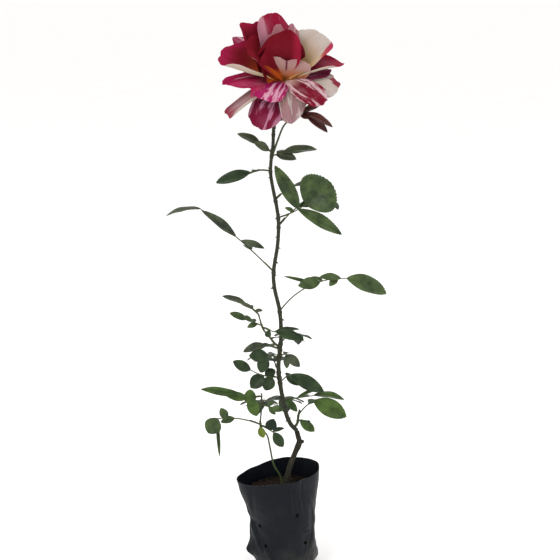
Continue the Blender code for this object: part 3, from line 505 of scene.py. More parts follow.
limbs = {
    "stem_foot": dict(foot=2.7, tip=2.3, parent=None, points=(
        (2.0, 3, 90), (4.5, 3, 99), (7.2, 4, 110), (12.2, 5, 124), (16.9, 6, 136), (15.9, 5, 143),
        (14.6, 4, 149))),
    "main_cane": dict(foot=2.3, tip=1.5, parent=None, points=(
        (14.2, 4, 150.2), (7.3, 3, 159), (2.4, 2, 173), (-2.0, 0, 197), (-4.5, -2, 222), (-2.0, -1, 252),
        (-3.2, 1, 278), (-8.6, 0, 304), (-9.2, -1, 322), (-5.2, -2, 350), (-5.0, -1, 377), (-11.6, 1, 413),
        (-12.0, 1, 428), (-9.8, 2, 447), (-9.0, 5, 470), (-7.4, 8, 484),
        tuple(hipFoot - flowerAxis * 0.3))),
    "thin_shoot": dict(foot=1.0, tip=0.75, parent=None, points=(
        (-1.0, -4, 90), (-2.6, -5, 103), (-9.6, -8, 118), (-13.6, -10, 139), (-15.8, -11, 150),
        (-19.6, -12, 156), (-23.0, -12, 163), (-22.0, -11, 178), (-21.5, -11, 196))),
    "middle_side_shoot": dict(foot=1.3, tip=0.7, parent="main_cane", points=(
        (-4.0, -1, 242), (-9.5, -4, 248), (-14.6, -7, 256), (-19.2, -9, 262), (-22.0, -10, 270),
        (-24.4, -11, 279))),
    "right_spur_shoot": dict(foot=1.5, tip=1.0, parent="main_cane", points=(
        (11.8, 4, 153.5), (15.0, 3.5, 159), (15.8, 2, 167), (17.2, 1, 174))),
    "flower_side_shoot": dict(foot=1.1, tip=0.7, parent="main_cane", points=(
        (-10.5, 1, 436), (-5.2, 1, 451), (0.6, 1, 465), (8.0, 2, 471), (15.6, 3, 475.5))),
}
stemKnob = dict(at=0.72, spread=0.07, extra=0.6)
rootFlare = 1.6
cutStub = dict(points=((16.9, 6, 136), (19.2, 5.8, 137.2), (21.6, 5.4, 137.8)), radii=(2.1, 2.0, 1.5))


def smoothPath(points, steps):  # a Catmull-Rom curve through the points
    ends = [2 * points[0] - points[1], *points, 2 * points[-1] - points[-2]]
    path = []
    for a, b, c, d in zip(ends, ends[1:], ends[2:], ends[3:]):
        for k in range(steps):
            t = k / steps
            path.append(0.5 * (2 * b + (c - a) * t + (2 * a - 5 * b + 4 * c - d) * t * t
                               + (3 * b - a - 3 * c + d) * t ** 3))
    return path + [points[-1]]


def limbPath(limb, steps=None):
    points = [Vector(p) for p in limbs[limb]["points"]]
    return smoothPath(points, steps or (2 if len(points) > 9 else 3))


def limbRadius(limb, share):
    radius = lerp(limbs[limb]["foot"], limbs[limb]["tip"], share)
    if limb == "stem_foot":
        radius += rootFlare * exp(-share * 12)
        radius += stemKnob["extra"] * exp(-((share - stemKnob["at"]) / stemKnob["spread"]) ** 2)
    return radius


def pathShares(path):  # how far along its path each point is, from 0 to 1
    lengths = [0.0]
    for a, b in zip(path, path[1:]):
        lengths.append(lengths[-1] + (b - a).length)
    return [length / lengths[-1] for length in lengths]


def pointOnLimb(limb, height):  # middle, direction and radius at a height
    path = limbPath(limb)
    places = pathShares(path)
    for i in range(len(path) - 1):
        if path[i].z <= height <= path[i + 1].z:
            t = (height - path[i].z) / (path[i + 1].z - path[i].z)
            along = (path[i + 1] - path[i]).normalized()
            return path[i].lerp(path[i + 1], t), along, limbRadius(limb, lerp(places[i], places[i + 1], t))
    return path[-1], (path[-1] - path[-2]).normalized(), limbRadius(limb, 1.0)


def evenPath(path, count):  # the same curve with points at even distances
    places = pathShares(path)
    out = []
    i = 0
    for k in range(count + 1):
        want = k / count
        while i < len(path) - 2 and places[i + 1] < want:
            i += 1
        t = (want - places[i]) / max(places[i + 1] - places[i], 1e-9)
        out.append(path[i].lerp(path[i + 1], min(max(t, 0), 1)))
    return out


def pathFrames(path):  # for each point: the point, its direction and two square ways, untwisted
    frames = []
    side = None
    for i, point in enumerate(path):
        along = (path[min(i + 1, len(path) - 1)] - path[max(i - 1, 0)]).normalized()
        if side is None:
            side = along.orthogonal().normalized()
        side = (side - along * side.dot(along)).normalized()
        frames.append((point, along, side, along.cross(side)))
    return frames


def layTube(name, path, sides, radiusAt):  # a tube with closed ends; radiusAt(share, angle, point) in mm
    frames = pathFrames(path)
    rows = len(path) + 1  # one more row at each end closes it

    def place(u, v):
        row = round(v * rows)
        index = min(max(row - 1, 0), len(path) - 1)
        point, along, side, other = frames[index]
        if row in (0, rows):
            return point * mm
        angle = 2 * pi * u
        out = side * cos(angle) + other * sin(angle)
        share = index / (len(path) - 1)
        return (point + out * radiusAt(share, angle, point + out)) * mm
    return layGrid(name, sides, rows, place, isRound=True)


# Compound leaves. Each row: the limb that its stalk leaves, height, heading (0 = right, 90 = back), rise of
# the stalk at its foot and at its end, stalk length, tone, leaflets. Leaflets are placed one by one (share
# along the stalk, tip from foot (right, back, up), width, how far the upper side turns from the sky to the
# front), or stand in pairs behind an end leaflet (its length, its width over its length, the side leaflets'
# length over its own, their fan, the nod of the end leaflet).
leaves = {
    "leaf_top_bronze": ("flower_side_shoot", 475.5, -20, 40, -6, 6, "bronze", (
        (0.95, (27, -4, -14), 10, 38), (0.8, (24, -2, -19), 9, 62), (0.3, (9, -6, -4), 9, 60),
        (0.6, (16, 2, 8), 9, 40), (0.5, (-5, -2, 9), 6, 60))),
    "leaf_top_left": ("main_cane", 439, 165, 32, 36, 12, "grey", (
        (0.95, (-23, -2, 11), 10, 40), (0.1, (-15, -4, 9), 9, 52), (0.25, (-6, 9, 3), 7, 0))),
    "leaf_top_right": ("main_cane", 436, -12, 12, 24, 10, "grey", (
        (0.9, (34, 1, 3), 12, 34), (0.25, (20, -5, -3), 11, 52), (0.4, (8, 11, 3), 9, 0))),
    "leaf_top_back": ("main_cane", 457, 84, 40, 20, 24, "mid",
        dict(pairs=1, length=32, slim=0.5, side=0.85, fan=46, nod=10)),
    "leaf_upper_left": ("main_cane", 421, -166, 10, -18, 20, "dark", (
        (0.92, (-34, -3, -10), 12, 66), (0.4, (-14, -1, -5), 4, 30), (0.5, (-6, 10, -2), 8, 0))),
    "leaf_upper_right": ("main_cane", 375, -10, 18, 38, 29, "mid", (
        (0.7, (-23, -3, 44), 15, 75), (1, (25, 2, 22), 46, 80), (0.68, (44, -6, -24), 13, 64),
        (0.5, (-9, -2, 5), 5, 50))),
    "leaf_upper_back": ("main_cane", 392, 52, 30, -4, 42, "dark",
        dict(pairs=1, length=40, slim=0.5, side=0.8, fan=36, nod=12)),
    "leaf_long_left": ("main_cane", 320, 172, 45, 35, 92, "grey", (
        (1, (-35, 0, -6), 13, 8), (0.52, (-34, -5, 28), 10, 50), (0.45, (24, -5, -7), 8, 45),
        (0.7, (-6, 13, 6), 9, 0), (0.3, (-8, 12, 3), 9, 0))),
    "leaf_long_right": ("main_cane", 279, -5, 54, -2, 77, "mid", (
        (0.98, (41, -4, -13), 19, 52), (0.9, (-22, -2, 3), 9, 40), (0.85, (-8, -8, -6), 8, 45),
        (0.62, (-22, -5, -3), 13, 60), (0.66, (-15, 6, 3), 9, 10), (0.54, (-31, -2, 8), 4, 60))),
    "leaf_long_back": ("main_cane", 366, 44, 40, 0, 58, "dark",
        dict(pairs=2, length=35, slim=0.5, side=0.85, fan=42, nod=14)),
    "leaf_shoot_tip": ("middle_side_shoot", 279, 160, 38, 30, 18, "grey", (
        (0.85, (-24, 0, 9), 8, 30), (0.4, (-14, -3, 8), 6, 35), (0.2, (8, -2, 1), 6, 30),
        (0.4, (-7, 12, 2), 8, 0))),
    "leaf_shoot_left": ("middle_side_shoot", 267, -158, 24, 28, 17, "mid", (
        (0.95, (-17, -1, 7), 8, 50), (0.6, (-8, 2, 6), 6, 40), (0.2, (-10, -5, -2), 6, 50),
        (0.4, (-4, 10, 1), 8, 0))),
    "leaf_shoot_right": ("middle_side_shoot", 265.5, -32, -18, 2, 16, "dark", (
        (0.95, (28, -4, -6), 11, 52), (0.8, (26, 5, 2), 6, 36), (0.4, (-2, 3, -9), 7, 70))),
    "leaf_middle_left_high": ("main_cane", 239.5, 158, 14, 2, 14, "grey", (
        (0.9, (-24, -6, -4), 11, 42), (0.55, (-13, 5, 0), 7, 25), (0.4, (-3, 11, 0), 8, 0))),
    "leaf_middle_left": ("main_cane", 231, -146, 24, 0, 14, "dark", (
        (0.85, (-19, -3, 2), 14, 65), (1, (-6, -5, -16), 13, 75), (0.4, (-6, 10, -2), 9, 0))),
    "leaf_middle_left_low": ("main_cane", 210, -155, 8, 36, 32, "dark", (
        (1, (-18, -1, 9), 11, 70), (0.5, (-13, -5, -12), 15, 72), (0.2, (-6, -6, -13), 14, 75),
        (0.16, (-5, 2, 9), 12, 70))),
    "leaf_middle_right_high": ("main_cane", 232, -45, 35, 0, 9, "grey", (
        (1, (13, -3, -12), 10, 68), (0.9, (0, -4, -14), 7, 70), (0.6, (4, 10, -1), 8, 0))),
    "leaf_middle_right": ("main_cane", 204, -18, 50, 16, 13, "dark", (
        (0.84, (34, -5, -17), 15, 58), (0.45, (13, -7, -7), 8, 60), (0.5, (6, 14, -2), 10, 0))),
    "leaf_middle_back": ("main_cane", 246, 72, 8, -12, 38, "dark",
        dict(pairs=2, length=33, slim=0.5, side=0.85, fan=52, nod=12)),
    "leaf_middle_back_low": ("main_cane", 216, 106, 22, -12, 44, "dark",
        dict(pairs=2, length=33, slim=0.52, side=0.85, fan=50, nod=12)),
    "leaf_thin_left_high": ("thin_shoot", 193, -170, -6, -2, 16, "light", (
        (1, (-45, 0, 12), 10, 42), (0.7, (8, -5, -18), 13, 75), (0.3, (-13, -2, 0), 16, 72),
        (0.85, (-22, -5, 4), 10, 55), (0.5, (-6, 13, -1), 11, 0))),
    "leaf_thin_right": ("thin_shoot", 184, -30, -5, -8, 11, "mid", (
        (1, (12, -3, -2), 8, 50), (0.5, (8, 2, 5), 6, 30), (0.7, (7, -4, -7), 6, 60))),
    "leaf_thin_back": ("thin_shoot", 180, 96, 15, -24, 28, "dark",
        dict(pairs=2, length=29, slim=0.52, side=0.85, fan=56, nod=12)),
    "leaf_thin_left_low": ("thin_shoot", 163, -172, 25, -4, 43, "mid", (
        (1, (-10, -3, -15), 18, 80), (0.78, (-6, 0, 11), 9, 75), (0.6, (-14, -4, -3), 8, 50),
        (1, (1, 2, -42), 4, 80))),
    "leaf_thin_front": ("thin_shoot", 162, -50, 0, -10, 20, "dark", (
        (0.6, (5, -1, 12), 12, 80), (1, (10, -4, -14), 11, 80), (0.9, (12, 3, 4), 6, 25))),
    "leaf_thin_small": ("thin_shoot", 166, -95, -40, -60, 4, "yellow", (
        (1, (4, -2, -11), 8, 80),)),
    "leaf_low_right": ("main_cane", 184.5, 14, 5, 2, 32, "light", (
        (0.95, (33, 5, -4), 12, 18), (0.4, (20, 3, 7), 6, 20), (0.6, (6, 12, -1), 9, 0),
        (0.04, (11, -5, -12), 8, 66))),
    "leaf_low_back": ("main_cane", 177, 88, 14, -30, 38, "dark",
        dict(pairs=2, length=31, slim=0.52, side=0.85, fan=54, nod=14)),
    "leaf_spur_right": ("right_spur_shoot", 168, -20, 56, 24, 22, "light", (
        (0.85, (34, -4, -15), 20, 62), (0.6, (5, 12, 0), 9, 0), (0.5, (12, 8, 2), 8, 0))),
    "leaf_spur_front": ("right_spur_shoot", 162, -50, 14, -4, 9, "light", (
        (0.2, (15, -3, -12), 10, 72), (1, (5, -8, 2), 6, 30))),
}
leafRule = dict(  # how stalks and leaflets are laid, the same as in the solids
    stalkRadius=0.75, stalkTip=0.5, steps=5, root=0.4, stagger=0.7, lap=1.2, spacing=0.56, firstBack=0.28,
    shrink=0.86, gap=0.3, bend=28, bendLengthens=1.014, turnVaries=4, fanVaries=6, tiltVaries=10)
leafGroups = {"leafBronze": 1, "leavesTop": 6, "leavesLong": 3, "leavesMiddle": 10, "leavesLow": 10}  # in order


def stalkPath(limb, height, heading, rise, endRise, stalk):
    middle, axis, thick = pointOnLimb(limb, height)
    out = towards(heading)
    start = out * cos(radians(rise)) + up * sin(radians(rise))
    slant = axis.dot(start)
    if height >= limbs[limb]["points"][-1][2]:
        away = (leafRule["gap"] + leafRule["stalkRadius"] * sqrt(1 - slant * slant)) / slant
    else:
        away = thick + leafRule["gap"] + leafRule["stalkRadius"] * abs(slant)
        away /= sqrt(max(1 - slant * slant, 0.1))
    path = [middle + start * away]
    for k in range(leafRule["steps"]):
        here = radians(lerp(rise, endRise, (k + 0.5) / leafRule["steps"]))
        path.append(path[-1] + (out * cos(here) + up * sin(here)) * stalk / leafRule["steps"])
    return middle, path


def placedLeaflets(path, rows, dice):  # foot, direction, face, length and width of each
    for share, reach, width, turn in rows:
        foot = pointAlong(path, share * (len(path) - 1))
        chord = Vector(reach).normalized()
        turn = radians(turn + dice.uniform(-1, 1) * leafRule["turnVaries"])
        face = up * cos(turn) - Vector((0, 1, 0)) * sin(turn)
        face = (face - chord * face.dot(chord)).normalized()
        arch = Matrix.Rotation(radians(leafRule["bend"] / 2), 3, chord.cross(face))
        length = Vector(reach).length * leafRule["bendLengthens"]
        yield foot - arch @ chord * leafRule["root"], arch @ chord, arch @ face, length, width


def pairedLeaflets(path, stalk, rule, dice):  # the same: the end leaflet, then pair by pair
    along = (path[-1] - path[-2]).normalized()
    level = up.cross(along).normalized()
    normal = along.cross(level)
    nod = Matrix.Rotation(radians(rule["nod"]), 3, level)
    blade = rule["length"]
    yield path[-1] - along * leafRule["lap"], nod @ along, nod @ normal, blade, blade * rule["slim"]
    for pair in range(rule["pairs"]):
        back = blade * (leafRule["firstBack"] + leafRule["spacing"] * pair)
        share = max(1 - back / stalk, 0.12) * (len(path) - 1)
        index = min(int(share), len(path) - 2)
        foot = pointAlong(path, share)
        here = (path[index + 1] - path[index]).normalized()
        for hand in (-1, 1):
            fan = radians(rule["fan"] + dice.uniform(-1, 1) * leafRule["fanVaries"]) * hand
            tilt = radians(dice.uniform(-1, 1) * leafRule["tiltVaries"])
            face = (normal - here * normal.dot(here)).normalized()
            direction = Matrix.Rotation(fan, 3, face) @ here
            face = Matrix.Rotation(tilt, 3, direction) @ face
            length = blade * rule["side"] * leafRule["shrink"] ** pair * dice.uniform(0.94, 1.04)
            root = foot + here * hand * leafRule["stagger"] - direction * leafRule["root"]
            yield root, direction, face, length, length * rule["slim"]


# Canes with the relief of their bark, swollen where a leaf leaves them.
bark = dict(stepLength=0.9, sides=28, thinSides=16, ribs=0.05, fissures=0.16, swelling=0.55, swellReach=1.6)
leafHeights = {limb: [row[1] for row in leaves.values() if row[0] == limb] for limb in limbs}


def barkRadius(limb):
    old = limb == "stem_foot"

    def radiusAt(share, angle, point):
        radius = limbRadius(limb, share)
        spot = Vector((cos(angle), sin(angle), 0))
        grain = noise.fractal(Vector((spot.x * 2.2, spot.y * 2.2, point.z * 0.16)), 0.8, 2.1, 4)
        ring = noise.noise(Vector((spot.x, spot.y, point.z * 1.1)))
        if old:
            depth = bark["fissures"] * (1 - abs(grain) * 2.4) + ring * 0.05
        else:
            depth = bark["ribs"] * grain + ring * 0.02
        swell = sum(exp(-((point.z - h + 0.8) / bark["swellReach"]) ** 2) for h in leafHeights[limb])
        return radius * (1 + depth + bark["swelling"] * swell / 2)
    return radiusAt


def stubRadius(share, angle, point):  # a cut end with a callus round its rim, split and worn
    small, middle, large = cutStub["radii"][::-1]
    rim = 0.18 * exp(-((share - 0.9) / 0.1) ** 2)
    worn = noise.fractal(point * 0.7, 0.8, 2.1, 4) * 0.22
    return (lerp(large, middle, share * 2) if share < 0.5 else lerp(middle, small, share * 2 - 1)) + rim + worn


def barkMaterial(name, dark, light, patches, patchShare, roughness, relief, scale):
    # a living skin over wood: fine lengthways grain, corky specks and a thin wax
    material, tree, shader = newMaterial(name, roughness, Specular_IOR_Level=0.2)
    place = addNode(tree, "TexCoord").outputs["Object"]
    long = addNode(tree, "Mapping", {"Vector": place}, Scale=(1, 1, 0.22)).outputs[0]
    grain = grainOf(tree, long, scale, 5, 0.6)
    corky = ranged(tree, grainOf(tree, place, 330, 2), 1 - patchShare, 1.08 - patchShare)
    colour = mixColour(tree, corky, mixColour(tree, grain, dark, light), patches)
    tree.links.new(colour, shader.inputs["Base Color"])
    bump(tree, shader, grain, 0.5, relief)
    return material


oldBark = barkMaterial("weathered rose bark", "#14130e", "#3a372b", "#58543f", 0.37, 0.85, 0.5, 700)
caneBark = barkMaterial("dark green cane skin", "#171a12", "#363a28", "#4a4030", 0.36, 0.55, 0.2, 600)
youngBark = barkMaterial("young green shoot skin", "#232d1a", "#44532f", "#553c30", 0.34, 0.5, 0.12, 600)
for limb, facts in limbs.items():
    path = limbPath(limb, 8)
    if facts["parent"]:  # it grows out of the middle of its parent
        path[0] = pointOnLimb(facts["parent"], facts["points"][0][2])[0]
    sides = bark["sides"] if facts["foot"] > 2 else bark["thinSides"]
    path = evenPath(path, round(lengthOf(path) / bark["stepLength"]))
    piece = layTube(limb + "_bark", path, sides, barkRadius(limb))
    if limb == "stem_foot":  # the stub that an old cut left
        stub = evenPath(smoothPath([Vector(p) for p in cutStub["points"]], 6), 14)
        piece = joinAs(piece.name, [piece, layTube("cutStub", stub, 24, stubRadius)])
    skin = oldBark if limb == "stem_foot" else caneBark if limb == "main_cane" else youngBark
    setDown(piece, skin, 60, "old_bark" if limb == "stem_foot" else "green_bark", limb)
print("canes made")

# Prickles: one broad-based hooked thorn, copied along the canes.
prickles = dict(
    length=3.4, base=(0.9, 2.2), hook=0.9, sunk=0.92,
    shown=((258, 195, 1.0), (304, 188, 0.9), (270, 4, 0.9), (330, -4, 0.8)),  # height, heading, size
    rest=34, lowest=160, highest=470)
clearSelection()
bpy.ops.mesh.primitive_cone_add(vertices=12, radius1=1, radius2=0.04, depth=1, location=(0, 0, 0.5))
thorn = bpy.context.object
bpy.ops.object.transform_apply(location=True, rotation=False, scale=False)
with editing():
    bpy.ops.mesh.subdivide(number_cuts=3)
for vertex in thorn.data.vertices:  # x round the cane, y along it, z out of it
    out = vertex.co.z
    slim = 1 - 0.35 * sin(out * pi)
    vertex.co = Vector((
        vertex.co.x * prickles["base"][0] * slim,
        vertex.co.y * prickles["base"][1] * slim - prickles["hook"] * out * out,
        (out - 0.12) * prickles["length"])) * mm
dice = random.Random("prickles")
spots = list(prickles["shown"])
for k in range(prickles["rest"]):
    height = dice.uniform(prickles["lowest"], prickles["highest"])
    spots.append((height, k * 137.5 + 40, dice.uniform(0.45, 0.85)))
thorns = []
for height, heading, size in spots:
    middle, axis, thick = pointOnLimb("main_cane", height)
    out = (towards(heading) - axis * towards(heading).dot(axis)).normalized()
    turn = Matrix((axis.cross(out), axis, out)).transposed().to_4x4()
    copy = copyOf(thorn)
    place = Matrix.Translation((middle + out * thick * prickles["sunk"]) * mm)
    copy.data.transform(place @ turn @ Matrix.Scale(size, 4))
    thorns.append(copy)
bpy.data.objects.remove(thorn)
# Rose prickle: hard dry skin, reddish brown, paler and horny towards its tip.
thornSkin = barkMaterial("dry horny prickle", "#2a1c14", "#54402e", "#6e5844", 0.34, 0.45, 0.05, 500)
setDown(joinAs("prickles", thorns), thornSkin, 50, "green_bark")
print("prickles made")

# One leaflet, modelled flat at a typical size and then copied, stretched and bent for every place.
leaflet = dict(
    length=32, width=16, thickness=0.26, teeth=17, tooth=0.042, veins=8, quilting=0.30, groove=0.35, rib=0.5,
    fold=16, bend=33, foldVaries=5, bendVaries=9, bendRows=60, sways=0.05, wave=0.5,
    belly=0.92, fullness=0.78, tipFrom=0.84, tipSlope=3.2, veinSlant=0.16)
crossing = (-1, -0.86, -0.66, -0.44, -0.22, -0.035, 0.035, 0.22, 0.44, 0.66, 0.86, 1)  # where its columns stand
leafRows = leaflet["teeth"] * 3 + 4


def flatLeaflet(u, v):
    column = crossing[round(u * (len(crossing) - 1))]
    row = round(v * leafRows)
    out = abs(column)
    half = max(sin(pi * min(v ** leaflet["belly"], 1)), 0) ** leaflet["fullness"] if 0 < v < 1 else 0
    half = lerp(half, (1 - v) * leaflet["tipSlope"], smoothStep(leaflet["tipFrom"], 1, v))  # to a point
    phase = (0, 0.45, 1)[(row + 1) % 3]
    edge = smoothStep(0.7, 1, out)
    tooth = leaflet["tooth"] * edge * smoothStep(0.02, 0.12, v) * (1 - smoothStep(0.94, 0.99, v))
    x = copysign(half * out + tooth * (phase - 0.4), column) if column else 0
    y = v + tooth * 0.35 * phase
    ripple = abs(sin(pi * leaflet["veins"] * (v - leaflet["veinSlant"] * out))) ** 0.7
    z = leaflet["quilting"] * ripple * smoothStep(0, 0.2, out) * (1 - 0.8 * smoothStep(0.75, 1, out))
    z -= leaflet["groove"] * (1 - smoothStep(0.03, 0.3, out))
    fade = smoothStep(0, 0.1, v) * (1 - smoothStep(0.9, 1, v))
    return Vector((x * leaflet["width"] / 2, y * leaflet["length"], z * fade)) * mm


template = layGrid("leaflet", len(crossing) - 1, leafRows, flatLeaflet)
for face in template.data.polygons:  # the strip down the middle is the midrib
    face.material_index = 1 if abs(face.center.x) < 0.3 * mm else 0
makeActive(template)
with editing():
    bpy.ops.mesh.remove_doubles(threshold=weldWithin)
for slot in range(4):
    template.data.materials.append(None)
wall(template, leaflet["thickness"], offset=0, skinSlot=2)
smoothShade(template, 75)

leafTones = {  # upper side, underside
    # dark: a deep green, darker than the leaves' own colour to paint the shade these leaves stand in
    "dark": ("#1a2b17", "#43573c"),
    "mid": ("#394a28", "#627455"),
    "light": ("#354d1b", "#687b47"),
    "yellow": ("#5c6a1c", "#808d48"),
    "grey": ("#383f32", "#646f62"),
    "bronze": ("#4a1a20", "#56553a"),
}


def leafMaterial(name, colour, roughness, contrast):
    # a rose leaf: waxy above and satin to the light, dull and paler below, faintly mottled
    material, tree, shader = newMaterial(name, roughness, Specular_IOR_Level=0.2)
    place = addNode(tree, "TexCoord").outputs["Object"]
    blotch = grainOf(tree, place, 75, 4, 0.6)
    cells = addNode(tree, "TexVoronoi", {"Vector": place}, Scale=1400).outputs["Distance"]  # 0.7 mm wide
    base = mixColour(tree, ranged(tree, blotch, 0.36, 0.64, kind="LINEAR"),
                     blendHex(colour, "#060e05", contrast), blendHex(colour, "#a0b060", contrast * 0.4))
    tree.links.new(base, shader.inputs["Base Color"])
    bump(tree, shader, cells, 0.15, 0.08)
    return material


leafSkins = {}
for tone, (above, below) in leafTones.items():
    rib = blendHex(above, "#a9b478" if tone != "bronze" else "#8a3a3a", 0.45)
    leafSkins[tone] = [
        leafMaterial("waxy " + tone + " leaf", above, 0.42, 0.34),
        leafMaterial("pale " + tone + " midrib", rib, 0.5, 0.15),
        leafMaterial("dull " + tone + " leaf underside", below, 0.62, 0.2),
        leafMaterial("raised " + tone + " underside rib", blendHex(below, "#b9c39a", 0.4), 0.6, 0.1)]


def bentLeaflet(foot, direction, face, length, width, tone, dice):
    piece = copyOf(template)
    side = direction.cross(face).normalized()
    fold = radians(leaflet["fold"] + dice.uniform(-1, 1) * leaflet["foldVaries"])
    bend = radians(leaflet["bend"] + dice.uniform(-1, 1) * leaflet["bendVaries"])
    phase, sway = dice.uniform(0, fullTurn), dice.uniform(-1, 1) * leaflet["sways"]
    rows = leaflet["bendRows"]
    middles = [foot.copy()]
    for k in range(rows + 8):
        turn = Matrix.Rotation(-bend * (k + 0.5) / rows, 3, side)
        middles.append(middles[-1] + (turn @ direction + side * sway * sin(k / rows * 3)) * length / rows)
    stretch = width / leaflet["width"]
    grow = length / leaflet["length"]
    for vertex in piece.data.vertices:
        x, y, z = vertex.co / mm
        x, v, z = x * stretch, y / leaflet["length"], z * grow
        middle = pointAlong(middles, min(max(v, 0) * rows, rows + 7.99))
        lift = Matrix.Rotation(-bend * max(v, 0), 3, side) @ face
        far = abs(x) / (width / 2)
        rise = abs(x) * sin(fold) * (1 - 0.25 * far) + z
        rise += leaflet["wave"] * sin(v * 9 + phase + (2 if x > 0 else 0)) * far * far * grow
        vertex.co = (middle + side * x * cos(fold) + lift * rise) * mm
    piece.data.materials.clear()
    for skin in leafSkins[tone]:
        piece.data.materials.append(skin)
    return piece


def stalkTube(path, foot, tip):
    return layTube("stalk", evenPath(smoothPath(path, 4), max(8, len(path) * 4)), 8,
                   lambda share, angle, point: lerp(foot, tip, share) * (1 + 0.12 * cos(angle * 2)))


stipule = dict(length=9, width=1.5, spread=0.5, thickness=0.2)  # a pair of wings, free at their tips
clearSelection()
bpy.ops.mesh.primitive_uv_sphere_add(segments=12, ring_count=8, radius=1)
budTemplate = bpy.context.object
for vertex in budTemplate.data.vertices:  # a plump pointed bud standing on its foot
    rise = (vertex.co.z + 1) / 2
    slim = 1 - 0.55 * rise ** 1.5
    vertex.co = Vector((vertex.co.x * 0.75 * slim, vertex.co.y * 0.6 * slim, rise * 2.4 - 0.5)) * mm


def wingPoint(frames, reachOut, hand, u, v):  # a stipule follows the first part of its stalk
    base = pointAlong([frame[0] for frame in frames], v * reachOut)
    reach = stipule["width"] * sin(pi * min(v * 0.8 + 0.12, 1)) ** 0.6 * u
    reach += stipule["spread"] * smoothStep(0.75, 1, v) * 1.5
    level = up.cross(frames[0][1]).normalized()
    return (base + level * hand * (0.3 + reach) + up * (0.25 + 0.5 * u * u)) * mm


axilBud = dict(rise=2.2, seat=0.85, size=0.6, grows=0.25)  # above its leaf; size over its limb's radius
tubes, wings, buds, sprays = [], [], [], {}
for name, (limb, height, heading, rise, endRise, stalk, tone, leaflets) in leaves.items():
    middle, path = stalkPath(limb, height, heading, rise, endRise, stalk)
    tubes.append(stalkTube([middle] + path, leafRule["stalkRadius"], leafRule["stalkTip"]))
    frames = pathFrames(evenPath(path, 40))
    reachOut = min(stipule["length"] / stalk, 0.45) * 40
    for hand in (-1, 1):
        wing = layGrid("stipule", 4, 14, lambda u, v: wingPoint(frames, reachOut, hand, u, v))
        wall(wing, stipule["thickness"], offset=0)
        wings.append(wing)
    if height < limbs[limb]["points"][-1][2]:
        out = towards(heading)
        centre, axis, thick = pointOnLimb(limb, height + axilBud["rise"])
        bud = copyOf(budTemplate)
        lean = (out * 0.6 + axis * 0.8).normalized().to_track_quat("Z", "Y").to_matrix().to_4x4()
        place = Matrix.Translation((centre + out * thick * axilBud["seat"]) * mm)
        bud.data.transform(place @ lean @ Matrix.Scale(axilBud["size"] + axilBud["grows"] * thick, 4))
        buds.append(bud)
    dice, look = random.Random(name), random.Random(name + " look")
    if "pairs" in leaflets:
        places = pairedLeaflets(path, stalk, leaflets, dice)
    else:
        places = placedLeaflets(path, leaflets, dice)
    sprays[name] = [bentLeaflet(*place, tone, look) for place in places]
bpy.data.objects.remove(template)
bpy.data.objects.remove(budTemplate)

inOrder = iter(sprays)
for name, count in leafGroups.items():
    members = [next(inOrder) for k in range(count)]
    piece = joinAs(name, [blade for member in members for blade in sprays[member]])
    setDown(piece, None, 0, "young_leaves" if name == "leafBronze" else "leaves", *members)

stalkSkin = barkMaterial("green leaf stalk skin", "#2a341c", "#4a582f", "#56392c", 0.36, 0.5, 0.05, 700)
budSkin = barkMaterial("red bud scales", "#4a1c1a", "#7a3a2c", "#5a5a30", 0.36, 0.45, 0.05, 500)
setDown(joinAs("leafStalks", tubes), stalkSkin, 60, "leaves")
setDown(joinAs("stipules", wings), stalkSkin, 60, "leaves")
setDown(joinAs("axilBuds", buds), budSkin, 60, "green_bark")
print("leaves made")

